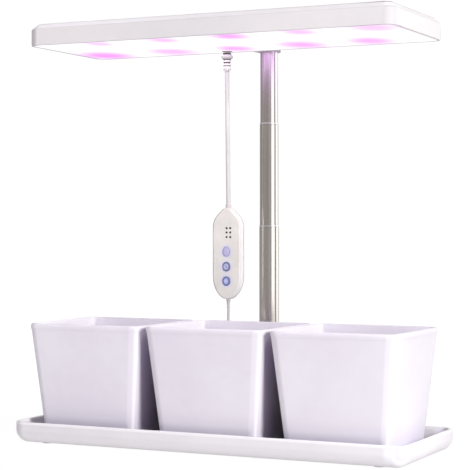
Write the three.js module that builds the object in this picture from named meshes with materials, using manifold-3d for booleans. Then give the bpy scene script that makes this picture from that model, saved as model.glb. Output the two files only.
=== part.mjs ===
import * as THREE from 'three';
import { mergeVertices, toCreasedNormals } from 'three/addons/utils/BufferGeometryUtils.js';
import Module from 'manifold-3d';

// Desktop plant grow lamp: a flat light head on a telescopic mast over three pots in one tray.
// Millimetres, +Z up, front of the lamp towards -Y. Origin: centre of the footprint, on the surface it stands on.

const wasm = await Module();
wasm.setup();

// ---------- driving dimensions ----------
const TRAY = { w: 420, d: 148, y: -18, bottom: 1.0, floor: 4.0, top: 22, r: 15 };
const POT = { s: 128.3, pitch: 133.1, y: -18, bottom: 4.3, top: 120.9, r: 11, taper: 0.103, wall: 3.0, lip: 5.4 };
const MAST = { x: 0, y: 76.5, lower: 10.4, lowerIn: 10.1, middle: 9.85, middleIn: 9.55, upper: 9.35, upperIn: 8.95 };
const SOCKET = { r: 15.5, top: 25.0, floor: 5.0, bore: 10.75 };
const JOINT_1 = 219.8;          // top of the lower tube, above the table
const JOINT_2 = 326.8;          // top of the middle tube
const RING_H = 1.5;             // height of the bright end rings
const HEAD = { w: 391, d: 144, y: -11.7, bottom: 400.6, crease: 416.6, top: 423.0, bevel: 7.0, r: 12, wall: 2.0 };
const LUG = { r: 12.0, top: 418.0, socketTop: 413.5 };
const JACK = { x: -36.5, y: 50.5 };
const BOX = { x: -37.0, y: 54.9, t: 11.0, w: 32.0, top: 237.9, bottom: 142.8 };
const LAMP_CABLE_R = 2.35;
const SUPPLY_R = 1.3;
const BUTTON = { r: 4.7, z: [192.3, 176.7, 161.6] };
const DOT = { r: 0.85, x: [0.5, 4.7], z: [216.9, 212.4, 207.6] };
const SEG = 40;

// ---------- materials ----------
const mat = (color, roughness, metalness = 0) => new THREE.MeshStandardMaterial({ color, roughness, metalness });
const M = {
  tray: () => mat(0xf1eff1, 0.34),
  pot: () => mat(0xecebf2, 0.38),
  rubber: () => mat(0x3a3a3c, 0.85),
  steel: () => mat(0xb9b4b2, 0.26, 1.0),
  ring: () => mat(0xe2e2e4, 0.12, 1.0),
  screw: () => mat(0xa8a8aa, 0.35, 1.0),
  nylon: () => mat(0xd9d9d6, 0.6),
  head: () => mat(0xe9e7ea, 0.36),
  diffuser: () => mat(0xfdfbfd, 0.5),
  board: () => mat(0xf2f2ee, 0.45, 0.1),
  led: () => mat(0xf5a6fa, 0.3),
  black: () => mat(0x202124, 0.5),
  brass: () => mat(0xd8d4c8, 0.25, 1.0),
  plug: () => mat(0xe7dfdb, 0.5),
  cable: () => mat(0xece5e1, 0.55),
  supply: () => mat(0xd2ccca, 0.55),
  box: () => mat(0xe5ddd9, 0.45),
  boxBack: () => mat(0xf4f2f1, 0.42),
  pcb: () => mat(0x2f6b45, 0.5),
  window: () => mat(0x3b3538, 0.3),
  lilac: () => mat(0xbdb8e6, 0.35),
  blue: () => mat(0xa7b6f0, 0.35),
};

const part = new THREE.Group();
part.name = 'plant_grow_lamp';
function add(name, geometry, material) {
  const g = toCreasedNormals(geometry.index ? geometry.toNonIndexed() : geometry, 0.6);
  const mesh = new THREE.Mesh(g, material);
  mesh.name = name;
  part.add(mesh);
  return mesh;
}

// ---------- geometry helpers ----------
// rounded rectangle of points, counter-clockwise seen from above
function ring(w, d, r, z, cx, cy, n = 6) {
  const out = [];
  const hx = w / 2, hy = d / 2;
  r = Math.max(0.5, Math.min(r, hx - 0.01, hy - 0.01));
  const corners = [[hx - r, hy - r, 0], [-hx + r, hy - r, 1], [-hx + r, -hy + r, 2], [hx - r, -hy + r, 3]];
  for (const [x, y, k] of corners) {
    for (let i = 0; i <= n; i++) {
      const a = (k + i / n) * Math.PI / 2;
      out.push([cx + x + r * Math.cos(a), cy + y + r * Math.sin(a), z]);
    }
  }
  return out;
}
// closed solid through rings of equal count, with a fan at each end
function loft(rings) {
  const n = rings[0].length, pos = [], idx = [];
  for (const r of rings) for (const p of r) pos.push(...p);
  for (let k = 0; k + 1 < rings.length; k++) {
    for (let i = 0; i < n; i++) {
      const a = k * n + i, b = k * n + (i + 1) % n, c = a + n, d = b + n;
      idx.push(a, b, d, a, d, c);
    }
  }
  const centre = (r) => [0, 1, 2].map((q) => r.reduce((s, p) => s + p[q], 0) / n);
  const first = pos.length / 3;
  pos.push(...centre(rings[0]));
  const last = pos.length / 3;
  pos.push(...centre(rings[rings.length - 1]));
  const base = (rings.length - 1) * n;
  for (let i = 0; i < n; i++) {
    idx.push(first, (i + 1) % n, i);
    idx.push(last, base + i, base + (i + 1) % n);
  }
  const g = new THREE.BufferGeometry();
  g.setAttribute('position', new THREE.Float32BufferAttribute(pos, 3));
  g.setIndex(idx);
  return g;
}
// solid of revolution about a vertical line through (x, y); profile [radius, z] from its low end to its high end
function turn(profile, x, y, n = SEG) {
  const g = new THREE.LatheGeometry(profile.map(([r, z]) => new THREE.Vector2(r, z)), n);
  g.rotateX(Math.PI / 2);
  g.translate(x, y, 0);
  return g;
}
const rod = (r, z0, z1, x, y, n = SEG) => turn([[0, z0], [r, z0], [r, z1], [0, z1]], x, y, n);
// open pipe: closed profile from the inside foot, out, up, in, and back down
const pipe = (ri, ro, z0, z1, x, y, n = SEG) => turn([[ri, z0], [ro, z0], [ro, z1], [ri, z1], [ri, z0]], x, y, n);
// solid of revolution about a line along +Y through (x, z); profile [radius, y]
function turnY(profile, x, z, n = 28) {
  const g = new THREE.LatheGeometry(profile.map(([r, y]) => new THREE.Vector2(r, y)), n);
  g.translate(x, 0, z);
  return g;
}
const box = (x0, y0, z0, x1, y1, z1) => {
  const g = new THREE.BoxGeometry(x1 - x0, y1 - y0, z1 - z0);
  g.translate((x0 + x1) / 2, (y0 + y1) / 2, (z0 + z1) / 2);
  return g;
};
function tube(points, r, steps, sides) {
  const path = new THREE.CatmullRomCurve3(points.map((p) => new THREE.Vector3(...p)), false, 'centripetal');
  const s = new THREE.Shape();
  for (let i = 0; i < sides; i++) {
    const a = (i / sides) * Math.PI * 2;
    if (i) s.lineTo(r * Math.cos(a), r * Math.sin(a)); else s.moveTo(r, 0);
  }
  s.closePath();
  return new THREE.ExtrudeGeometry(s, { steps, bevelEnabled: false, extrudePath: path });
}
function solid(geometry) {
  let g = geometry.clone();
  g.deleteAttribute('normal');
  g.deleteAttribute('uv');
  g = mergeVertices(g, 1e-4);
  const keep = [], index = g.index.array;
  for (let i = 0; i < index.length; i += 3) {
    const [a, b, c] = [index[i], index[i + 1], index[i + 2]];
    if (a !== b && b !== c && a !== c) keep.push(a, b, c);
  }
  return new wasm.Manifold(new wasm.Mesh({
    numProp: 3,
    vertProperties: new Float32Array(g.attributes.position.array),
    triVerts: new Uint32Array(keep),
  }));
}
function surface(manifold) {
  const m = manifold.getMesh();
  const g = new THREE.BufferGeometry();
  const pos = new Float32Array(m.numVert * 3);
  for (let i = 0; i < m.numVert; i++) for (let k = 0; k < 3; k++) pos[i * 3 + k] = m.vertProperties[i * m.numProp + k];
  g.setAttribute('position', new THREE.BufferAttribute(pos, 3));
  g.setIndex(Array.from(m.triVerts));
  return g;
}
const cut = (g, ...tools) => surface(tools.reduce((s, t) => s.subtract(solid(t)), solid(g)));

// ---------- tray with the mast socket at the back ----------
{
  const R = (inset, z) => ring(TRAY.w - 2 * inset, TRAY.d - 2 * inset, Math.max(TRAY.r - inset, 4), z, 0, TRAY.y, 5);
  const outer = [R(13.5, 1.0)];
  for (let i = 1; i <= 5; i++) {
    const a = (i / 5) * Math.PI / 2;
    outer.push(R(13.0 - 13.0 * Math.sin(a), 1.0 + 13.0 * (1 - Math.cos(a))));
  }
  outer.push(R(0, 20.4), R(0.5, 21.5), R(1.5, 22.0), R(2.8, 22.0), R(3.8, 21.4));
  const lugRing = (r, z) => {
    const out = [];
    for (let i = 0; i <= 14; i++) {
      const a = (i / 14) * Math.PI;
      out.push([MAST.x + r * Math.cos(a), MAST.y + r * Math.sin(a), z]);
    }
    out.push([-r, 40, z], [r, 40, z]);
    return out;
  };
  const lug = loft([lugRing(14.2, 1.0), lugRing(15.1, 1.5), lugRing(SOCKET.r, 2.6), lugRing(SOCKET.r, 23.4), lugRing(15.0, 24.5), lugRing(14.0, SOCKET.top)]);
  const hollow = loft([R(11.5, 4.0), R(8.0, 4.7), R(6.0, 6.6), R(5.0, 9.5), R(4.2, 21.0), R(3.6, 21.7), R(3.2, 23.0), R(3.2, 30.0)]);
  let s = solid(loft(outer)).add(solid(lug)).subtract(solid(hollow));
  s = s.subtract(solid(rod(SOCKET.bore, SOCKET.floor, 40, MAST.x, MAST.y, 32)));
  s = s.subtract(solid(rod(2.4, -5, 20, MAST.x, MAST.y, 12)));
  s = s.subtract(solid(rod(5.0, -5, 2.9, MAST.x, MAST.y, 16)));
  for (const x of [-178, 178]) for (const y of [-72, 36]) s = s.subtract(solid(rod(6.5, -5, 2.4, x, y, 16)));
  add('tray', surface(s), M.tray());
  let k = 0;
  const names = ['foot_front_left', 'foot_rear_left', 'foot_front_right', 'foot_rear_right'];
  for (const x of [-178, 178]) for (const y of [-72, 36]) {
    add(names[k++], turn([[0, 0], [5.4, 0], [6.0, 0.5], [6.0, 2.1], [0, 2.1]], x, y, 16), M.rubber());
  }
}

// ---------- three pots ----------
['pot_left', 'pot_middle', 'pot_right'].forEach((name, i) => {
  const cx = (i - 1) * POT.pitch;
  const fall = (z) => POT.taper * (POT.top - z);
  const R = (inset, z, r) => ring(POT.s - 2 * inset, POT.s - 2 * inset, r, z, cx, POT.y, 5);
  const outR = (z) => POT.r - 0.16 * fall(z);
  const b = fall(POT.bottom);
  const rings = [
    R(b + 9.0, 6.0, 4), R(b + 7.0, 4.3, 5), R(b + 2.2, 4.3, 7.5), R(b + 0.6, 4.9, 8.6), R(fall(6.6), 6.6, outR(6.6)),
    R(fall(114.6) + 0.25, 114.6, outR(114.6)), R(fall(115.4) - 0.45, 115.5, POT.r),
    R(0.0, 119.7, POT.r), R(0.35, 120.5, POT.r - 0.35), R(1.2, 120.9, POT.r - 1.2), R(3.2, 120.9, POT.r - 3.0), R(4.1, 120.4, POT.r - 3.8), R(4.4, 119.5, POT.r - 4),
    R(4.5, 116.0, POT.r - 4), R(fall(114.8) + POT.wall, 114.8, outR(114.8) - 2.6),
    R(fall(12) + POT.wall, 12.0, 6.0), R(fall(9.6) + POT.wall + 0.9, 9.4, 5.4), R(fall(8) + POT.wall + 3.2, 8.0, 4.4),
  ];
  let s = solid(loft(rings));
  for (const [dx, dy] of [[0, 0], [-26, -26], [26, -26], [-26, 26], [26, 26]]) s = s.subtract(solid(rod(3.2, 0, 20, cx + dx, POT.y + dy, 10)));
  add(name, surface(s), M.pot());
});

// ---------- telescopic mast ----------
{
  const { x, y } = MAST;
  // lower tube stands in the tray's socket
  add('mast_lower_tube', pipe(MAST.lowerIn, MAST.lower, SOCKET.floor + 0.3, JOINT_1 - RING_H - 0.3, x, y), M.steel());
  add('mast_lower_end_ring', pipe(MAST.lowerIn + 0.1, MAST.lower + 0.12, JOINT_1 - RING_H, JOINT_1, x, y), M.ring());
  add('mast_foot_plug', cut(turn([[0, 5.4], [9.7, 5.4], [9.7, 22.0], [0, 22.0]], x, y, 24), rod(1.95, 0, 16.5, x, y, 12)), M.nylon());
  add('mast_socket_screw', turn([[0, 1.1], [3.6, 1.1], [4.3, 1.6], [4.3, 2.6], [1.6, 2.6], [1.6, 15.4], [0, 16.0]], x, y, 14), M.screw());
  // middle tube slides in the lower one; its split bush rides inside the lower tube
  add('mast_middle_tube', pipe(MAST.middleIn, MAST.middle, 121.8, JOINT_2 - RING_H - 0.3, x, y), M.steel());
  add('mast_middle_end_ring', pipe(MAST.middleIn + 0.05, MAST.middle + 0.12, JOINT_2 - RING_H, JOINT_2, x, y), M.ring());
  add('mast_middle_guide_bush', pipe(6.6, 9.75, 113.5, 121.5, x, y, 24), M.nylon());
  // upper tube carries the head
  add('mast_upper_tube', pipe(MAST.upperIn, MAST.upper, 214.8, LUG.socketTop - 0.3, x, y), M.steel());
  add('mast_upper_guide_bush', pipe(6.2, 9.2, 206.8, 214.5, x, y, 24), M.nylon());
  add('mast_top_plug', cut(turn([[0, 400.0], [8.6, 400.0], [8.6, 413.0], [0, 413.0]], x, y, 24), rod(1.95, 403.5, 420, x, y, 12)), M.nylon());
  add('head_clamp_screw', turn([[0, 404.6], [1.6, 405.0], [1.6, 416.3], [3.4, 416.3], [3.4, 417.2], [2.7, 417.7], [0, 417.7]], x, y, 14), M.screw());
}

// ---------- light head ----------
{
  const R = (inset, z) => ring(HEAD.w - 2 * inset, HEAD.d - 2 * inset, Math.max(HEAD.r - inset * 0.8, 3), z, 0, HEAD.y, 6);
  const b = HEAD.bottom;
  const outer = loft([R(0.7, b), R(0.15, b + 0.35), R(0, b + 0.9), R(0, 415.9), R(0.2, 416.7), R(0.8, 417.5), R(6.0, 422.1), R(6.8, 422.7), R(8.0, HEAD.top)]);
  const lugRing = (r, z) => {
    const out = [];
    for (let i = 0; i <= 14; i++) {
      const a = (i / 14) * Math.PI;
      out.push([MAST.x + r * Math.cos(a), MAST.y + r * Math.sin(a), z]);
    }
    out.push([-r, 50, z], [r, 50, z]);
    return out;
  };
  const lug = loft([lugRing(11.4, b), lugRing(11.9, b + 0.4), lugRing(LUG.r, b + 0.9), lugRing(LUG.r, 416.2), lugRing(11.5, 417.4), lugRing(10.4, LUG.top)]);
  const hollow = loft([R(2.0, b - 3), R(2.0, 414.8), R(2.4, 415.8), R(7.2, 420.3), R(8.6, 420.9)]);
  // the boss behind the hollow keeps the rear wall whole around the lug
  let s = solid(outer).add(solid(lug)).subtract(solid(hollow));
  s = s.subtract(solid(rod(9.7, b - 5, LUG.socketTop, MAST.x, MAST.y, 32)));
  s = s.subtract(solid(rod(2.0, b - 5, 425, MAST.x, MAST.y, 12)));
  s = s.subtract(solid(rod(3.9, 416.0, 425, MAST.x, MAST.y, 16)));
  add('head_cover', surface(s), M.head());

  const P = (inset, z) => ring(HEAD.w - 2 * inset, HEAD.d - 2 * inset, 9.6, z, 0, HEAD.y, 6);
  add('head_diffuser', cut(loft([P(2.9, b + 0.15), P(2.35, b + 0.5), P(2.35, b + 2.4)]), rod(6.1, b - 5, b + 8, JACK.x, JACK.y, 20)), M.diffuser());

  // aluminium light board with its white chips; the ten magenta chips sit between them
  let board = solid(box(-186, -74, 409.0, 186, 41, 410.6));
  for (const y of [-64, 28]) for (let i = 0; i < 12; i++) {
    const x = (i - 5.5) * 31.0 + (y < 0 ? 9 : -9);
    if (Math.abs(x) < 181) board = board.add(solid(box(x - 1.4, y + 10.6, 408.2, x + 1.4, y + 13.4, 409.4)));
  }
  add('led_board', surface(board), M.board());
  const rear = [-168, -88, -16, 58, 131], front = [-122, -50, 22, 95, 169];
  rear.forEach((x, i) => add(`led_rear_${i + 1}`, box(x - 2.6, 25.4, 407.3, x + 2.6, 30.6, 408.7), M.led()));
  front.forEach((x, i) => add(`led_front_${i + 1}`, box(x - 2.6, -66.6, 407.3, x + 2.6, -61.4, 408.7), M.led()));

  // power socket, its collar showing through the diffuser
  add('power_jack', cut(surface(solid(turn([[0, b + 0.2], [5.2, b + 0.2], [5.7, b + 0.6], [5.7, b + 4.0], [0, b + 4.0]], JACK.x, JACK.y, 20))
    .add(solid(box(JACK.x - 5, JACK.y - 5, b + 3.8, JACK.x + 5, JACK.y + 5, b + 14)))), rod(3.1, b - 5, b + 11.6, JACK.x, JACK.y, 14)), M.black());
}

// ---------- plug, lamp cable ----------
const PLUG_TOP = 399.3;
add('lamp_plug_barrel', pipe(1.25, 2.75, PLUG_TOP + 0.3, HEAD.bottom + 10.6, JACK.x, JACK.y, 14), M.brass());
add('lamp_plug_grip', turn([[0, 392.0], [4.1, 392.0], [4.9, 392.7], [6.05, 394.8], [6.2, 395.9], [5.9, 396.9], [5.0, 398.3], [4.7, PLUG_TOP], [0, PLUG_TOP]], JACK.x, JACK.y, 20), M.plug());
{
  const p = [[0, 380.6]];
  p.push([3.3, 380.6], [4.15, 381.0]);
  for (const z of [382.6, 386.2, 389.5]) p.push([4.25, z - 0.5], [3.3, z - 0.45], [3.3, z + 0.45], [4.3, z + 0.5]);
  p.push([4.3, 391.7], [0, 391.7]);
  add('lamp_plug_strain_relief', turn(p, JACK.x, JACK.y, 16), M.plug());
}
add('lamp_cable', tube([[JACK.x, JACK.y, 380.3], [JACK.x - 0.05, JACK.y + 0.9, 345], [JACK.x - 0.25, JACK.y + 2.5, 300], [BOX.x, BOX.y - 0.5, 262], [BOX.x, BOX.y, 242.3]], LAMP_CABLE_R, 14, 10), M.cable());

// ---------- hand controller on the cable ----------
{
  const half = [[2.9, 237.9], [4.6, 236.6], [7.6, 233.7], [10.4, 230.9], [12.6, 228.3], [14.3, 225.6], [15.4, 222.6], [15.95, 219.0],
    [16.0, 214.0], [16.0, 190.0], [16.0, 166.0], [15.6, 161.4], [14.7, 157.6], [13.0, 153.4], [10.7, 149.5], [7.6, 146.0], [4.4, 143.7], [1.8, 142.8]];
  const cz = (BOX.top + BOX.bottom) / 2, hz = (BOX.top - BOX.bottom) / 2;
  // outline drawn counter-clockwise seen from the back (+Y), so that lofting towards +Y faces outwards
  const outline = (inset, y) => {
    const sx = (16 - inset) / 16, sz = (hz - inset) / hz;
    const right = half.map(([x, z]) => [x * sx, cz + (z - cz) * sz]);
    const left = [...right].reverse().map(([x, z]) => [-x, z]);
    return [...right, ...left].map(([x, z]) => [BOX.x + x, y, z]);
  };
  const y0 = BOX.y - BOX.t / 2, y1 = BOX.y + BOX.t / 2, mid = BOX.y;
  const top = rod(3.3, 228, 245, BOX.x, BOX.y, 20), foot = rod(2.5, 130, 152, BOX.x, BOX.y, 16);
  const inside = loft([outline(1.7, y0 + 1.7), outline(1.7, y1 - 1.7)]);
  let front = solid(loft([outline(2.9, y0), outline(1.9, y0 + 0.1), outline(0.9, y0 + 0.6), outline(0.2, y0 + 1.6), outline(0, y0 + 2.8), outline(0, mid - 0.15)]));
  front = front.subtract(solid(inside)).subtract(solid(top)).subtract(solid(foot));
  for (const z of BUTTON.z) front = front.subtract(solid(turnY([[0, y0 - 3], [BUTTON.r + 0.3, y0 - 3], [BUTTON.r + 0.3, y0 + 4], [0, y0 + 4]], BOX.x, z, 22)));
  for (const dx of DOT.x) for (const z of DOT.z) front = front.subtract(solid(turnY([[0, y0 - 3], [DOT.r, y0 - 3], [DOT.r, y0 + 4], [0, y0 + 4]], BOX.x + dx, z, 8)));
  add('controller_front_shell', surface(front), M.box());
  let back = solid(loft([outline(0, mid + 0.15), outline(0, y1 - 2.8), outline(0.2, y1 - 1.6), outline(0.9, y1 - 0.6), outline(1.9, y1 - 0.1), outline(2.9, y1)]));
  back = back.subtract(solid(inside)).subtract(solid(top)).subtract(solid(foot));
  add('controller_rear_shell', surface(back), M.boxBack());

  // circuit board with three push switches standing on it
  let pcb = solid(box(BOX.x - 10.5, mid + 0.9, 156.5, BOX.x + 10.5, mid + 2.2, 222));
  for (const z of BUTTON.z) pcb = pcb.add(solid(box(BOX.x - 3, mid - 1.2, z - 3, BOX.x + 3, mid + 1.0, z + 3)));
  add('controller_board', surface(pcb), M.pcb());
  // dark light guide with six pips behind the indicator holes
  let guide = solid(box(BOX.x - 2.6, y0 + 2.0, 204.2, BOX.x + 7.0, y0 + 3.2, 220.3));
  for (const dx of DOT.x) for (const z of DOT.z) guide = guide.add(solid(turnY([[0, y0 + 0.25], [0.6, y0 + 0.25], [0.6, y0 + 2.4], [0, y0 + 2.4]], BOX.x + dx, z, 8)));
  add('controller_indicator_guide', surface(guide), M.window());
  const names = ['button_power', 'button_timer', 'button_dimmer'];
  BUTTON.z.forEach((z, i) => add(names[i], turnY([[0, y0 - 0.55], [3.6, y0 - 0.5], [4.4, y0 - 0.2], [BUTTON.r, y0 + 0.25], [BUTTON.r, y0 + 2.1], [5.7, y0 + 2.1], [5.7, y0 + 2.9], [0, y0 + 2.9]], BOX.x, z, 22), i ? M.blue() : M.lilac()));
  add('controller_top_bushing', turn([[0, 230.0], [3.0, 230.0], [3.0, 240.6], [2.7, 242.0], [0, 242.0]], BOX.x, BOX.y, 14), M.plug());
  add('controller_bottom_bushing', turn([[0, 132.8], [1.75, 132.8], [2.2, 141.0], [2.2, 150.0], [0, 150.0]], BOX.x, BOX.y, 12), M.plug());
}

// ---------- supply cable: hangs behind the pots, then lies on the table behind the tray ----------
const Z0 = SUPPLY_R + 0.15;
add('supply_cable_upper', tube([[BOX.x, BOX.y, 132.5], [BOX.x, BOX.y + 1.2, 112], [BOX.x, BOX.y + 3.6, 88], [BOX.x, BOX.y + 6.0, 66.3]], SUPPLY_R, 10, 8), M.supply());
add('supply_cable_lower', tube([[BOX.x, BOX.y + 6.05, 66.0], [BOX.x, BOX.y + 8.2, 44], [BOX.x, BOX.y + 10.0, 24], [BOX.x, BOX.y + 13.0, 11], [BOX.x, BOX.y + 19.0, 3.4], [BOX.x - 0.3, BOX.y + 27.0, Z0]], SUPPLY_R, 16, 8), M.supply());
add('supply_cable_floor_run', tube([[BOX.x - 0.3, BOX.y + 27.3, Z0], [-38.6, 91, Z0], [-45.5, 100.2, Z0], [-56, 110, Z0], [-66.5, 120.3, Z0], [-76.1, 131.7, Z0]], SUPPLY_R, 12, 8), M.supply());
// the unseen length as one neat coil, drawn as a plain ring
{
  const p = [];
  for (let i = 0; i < 10; i++) {
    const a = (i / 10) * Math.PI * 2;
    p.push([15.6 + 5.2 * Math.cos(a), 4.1 + 3.95 * Math.sin(a)]);
  }
  p.push(p[0]);
  add('supply_cable_coil', turn(p, -98, 128, 28), M.supply());
}
add('supply_cable_tail', tube([[-99, 150.4, Z0 + 0.35], [-106, 150.9, Z0 + 0.3], [-114, 150.5, Z0 + 1.6], [-121.4, 150, 4.4]], SUPPLY_R, 8, 8), M.supply());
{
  const slab = (x0, x1, w, h, r, z) => {
    const sec = (x, ww, hh) => ring(hh, ww, r, x, 0, 0, 3).map(([a, bb, c]) => [c, 150 + bb, z - a]);
    return loft([sec(x0, w - 1.2, h - 1.2), sec(x0 + 0.8, w, h), sec(x1 - 0.8, w, h), sec(x1, w - 1.2, h - 1.2)]);
  };
  add('usb_plug_grip', slab(-147, -121.8, 15.4, 7.8, 2.4, 4.4), M.plug());
  const shell = solid(box(-165.3, 144.0, 2.15, -147.3, 156.0, 6.65)).subtract(solid(box(-170, 144.4, 2.55, -149.0, 155.6, 6.25))).add(solid(box(-164.6, 144.3, 2.5, -148.6, 155.7, 4.3)));
  add('usb_plug_shell', surface(shell), M.brass());
}

export default part;
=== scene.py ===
import math

import bpy
from mathutils import Matrix, Vector


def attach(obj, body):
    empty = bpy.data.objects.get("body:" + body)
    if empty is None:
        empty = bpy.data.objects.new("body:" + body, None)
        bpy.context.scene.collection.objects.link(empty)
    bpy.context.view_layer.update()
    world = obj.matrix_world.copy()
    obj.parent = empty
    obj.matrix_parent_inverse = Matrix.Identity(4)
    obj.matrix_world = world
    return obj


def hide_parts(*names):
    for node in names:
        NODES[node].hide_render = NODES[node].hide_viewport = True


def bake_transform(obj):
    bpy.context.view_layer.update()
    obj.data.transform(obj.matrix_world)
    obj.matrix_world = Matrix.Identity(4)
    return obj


# Desktop plant grow lamp. Lengths in the tables below are millimetres in the row frame, and MM turns them into metres.
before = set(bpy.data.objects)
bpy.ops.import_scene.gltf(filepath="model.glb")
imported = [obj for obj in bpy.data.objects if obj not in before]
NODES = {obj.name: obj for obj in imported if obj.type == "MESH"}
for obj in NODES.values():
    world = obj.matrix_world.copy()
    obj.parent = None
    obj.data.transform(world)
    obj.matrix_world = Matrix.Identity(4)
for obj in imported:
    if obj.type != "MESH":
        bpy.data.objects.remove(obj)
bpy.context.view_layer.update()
MM = 0.001
PI = math.pi
scene = bpy.context.scene


# ============================================================ camera
cam_data = bpy.data.cameras.new("camera")
cam = bpy.data.objects.new("camera", cam_data)
scene.collection.objects.link(cam)
cam.location = (0.662248, -1.384782, 0.217533)
cam.rotation_euler = (math.radians(89.72), 0.0, math.radians(25.661))
cam_data.sensor_width = 36.0
cam_data.lens = 36.0 * 1530.58 / 470.0
cam_data.clip_start, cam_data.clip_end = 0.05, 60.0
scene.camera = cam


# ============================================================ mesh helpers
def link(obj):
    scene.collection.objects.link(obj)
    return obj


def make(name, verts, faces, sharp=32.0):
    me = bpy.data.meshes.new(name)
    me.from_pydata([(x * MM, y * MM, z * MM) for x, y, z in verts], [], faces)
    me.validate()
    me.update()
    obj = link(bpy.data.objects.new(name, me))
    smooth(obj, sharp)
    return obj


def smooth(obj, sharp=32.0):
    me = obj.data
    me.polygons.foreach_set("use_smooth", [True] * len(me.polygons))
    me.set_sharp_from_angle(angle=math.radians(sharp))
    me.update()


def flat_lit(obj):
    """Large flat faces keep their own normal next to fine fillets."""
    m = obj.modifiers.new("face weights", "WEIGHTED_NORMAL")
    m.mode = "FACE_AREA"
    m.weight = 50
    m.keep_sharp = True
    return obj


def rrect(w, d, r, z, cx=0.0, cy=0.0, n=12):
    r = max(0.4, min(r, w / 2 - 0.01, d / 2 - 0.01))
    out = []
    for x, y, k in ((w / 2 - r, d / 2 - r, 0), (-w / 2 + r, d / 2 - r, 1), (-w / 2 + r, -d / 2 + r, 2), (w / 2 - r, -d / 2 + r, 3)):
        for i in range(n + 1):
            a = (k + i / n) * PI / 2
            out.append((cx + x + r * math.cos(a), cy + y + r * math.sin(a), z))
    return out


def loft(rings, closed=False):
    """Faces through rings of equal count; a flat face closes each end, or the last ring joins the first."""
    n = len(rings[0])
    verts = [p for r in rings for p in r]
    faces = []
    last = len(rings) if closed else len(rings) - 1
    for k in range(last):
        for i in range(n):
            j = (i + 1) % n
            a, b = k * n + i, k * n + j
            k2 = (k + 1) % len(rings)
            c, d = k2 * n + i, k2 * n + j
            faces.append((a, b, d, c))
    if not closed:
        faces.append(tuple(reversed(range(n))))
        faces.append(tuple((len(rings) - 1) * n + i for i in range(n)))
    return verts, faces


def lathe(profile, cx, cy, n=64, axis="Z", cz=0.0):
    """Solid of revolution: profile is [radius, height] from its low end to its high end; radius 0 closes on the axis."""
    closed = profile[0] == profile[-1]
    pts = profile[:-1] if closed else profile
    verts, faces, rows = [], [], []
    for r, h in pts:
        if r < 1e-6:
            rows.append([len(verts)])
            verts.append((0.0, 0.0, h))
        else:
            rows.append(list(range(len(verts), len(verts) + n)))
            verts.extend((r * math.cos(2 * PI * i / n), r * math.sin(2 * PI * i / n), h) for i in range(n))
    pairs = list(zip(rows, rows[1:])) + ([(rows[-1], rows[0])] if closed else [])
    for a, b in pairs:
        for i in range(n):
            j = (i + 1) % n
            if len(a) == 1 and len(b) == 1:
                continue
            if len(a) == 1:
                faces.append((a[0], b[j], b[i]))
            elif len(b) == 1:
                faces.append((a[i], a[j], b[0]))
            else:
                faces.append((a[i], a[j], b[j], b[i]))
    if axis == "Z":
        verts = [(cx + x, cy + y, z) for x, y, z in verts]
    else:  # the axis runs along +Y, and the profile's height is y
        verts = [(cx + y, z, cz + x) for x, y, z in verts]
    return verts, faces


def arc(cu, cv, r, a0, a1, n, rv=None):
    """Points on an arc in a profile, from a0 to a1 degrees."""
    rv = r if rv is None else rv
    return [(cu + r * math.cos(math.radians(a0 + (a1 - a0) * i / n)), cv + rv * math.sin(math.radians(a0 + (a1 - a0) * i / n))) for i in range(n + 1)]


def box_mesh(x0, y0, z0, x1, y1, z1):
    v = [(x, y, z) for z in (z0, z1) for y in (y0, y1) for x in (x0, x1)]
    f = [(0, 2, 3, 1), (4, 5, 7, 6), (0, 1, 5, 4), (2, 6, 7, 3), (0, 4, 6, 2), (1, 3, 7, 5)]
    return v, f


def outward(obj):
    import bmesh

    bm = bmesh.new()
    bm.from_mesh(obj.data)
    bmesh.ops.recalc_face_normals(bm, faces=bm.faces)
    bm.to_mesh(obj.data)
    bm.free()
    obj.data.update()
    return obj


def combine(obj, op, *tools):
    """obj joined with or cut by the tools, which are used up."""
    for t in tools:
        outward(t)
        m = obj.modifiers.new("combine", "BOOLEAN")
        m.operation = op
        m.solver = "EXACT"
        m.object = t
        bpy.context.view_layer.update()
        dg = bpy.context.evaluated_depsgraph_get()
        me = bpy.data.meshes.new_from_object(obj.evaluated_get(dg))
        obj.modifiers.clear()
        old = obj.data
        obj.data = me
        bpy.data.meshes.remove(old)
        old = t.data
        bpy.data.objects.remove(t)
        bpy.data.meshes.remove(old)
    return obj


def tool(verts, faces):
    return outward(make("tool", verts, faces))


def bevel_edges(obj, width, segments=2, angle=40.0):
    m = obj.modifiers.new("edges", "BEVEL")
    m.width = width * MM
    m.segments = segments
    m.limit_method = "ANGLE"
    m.angle_limit = math.radians(angle)
    m.harden_normals = False
    return obj


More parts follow.
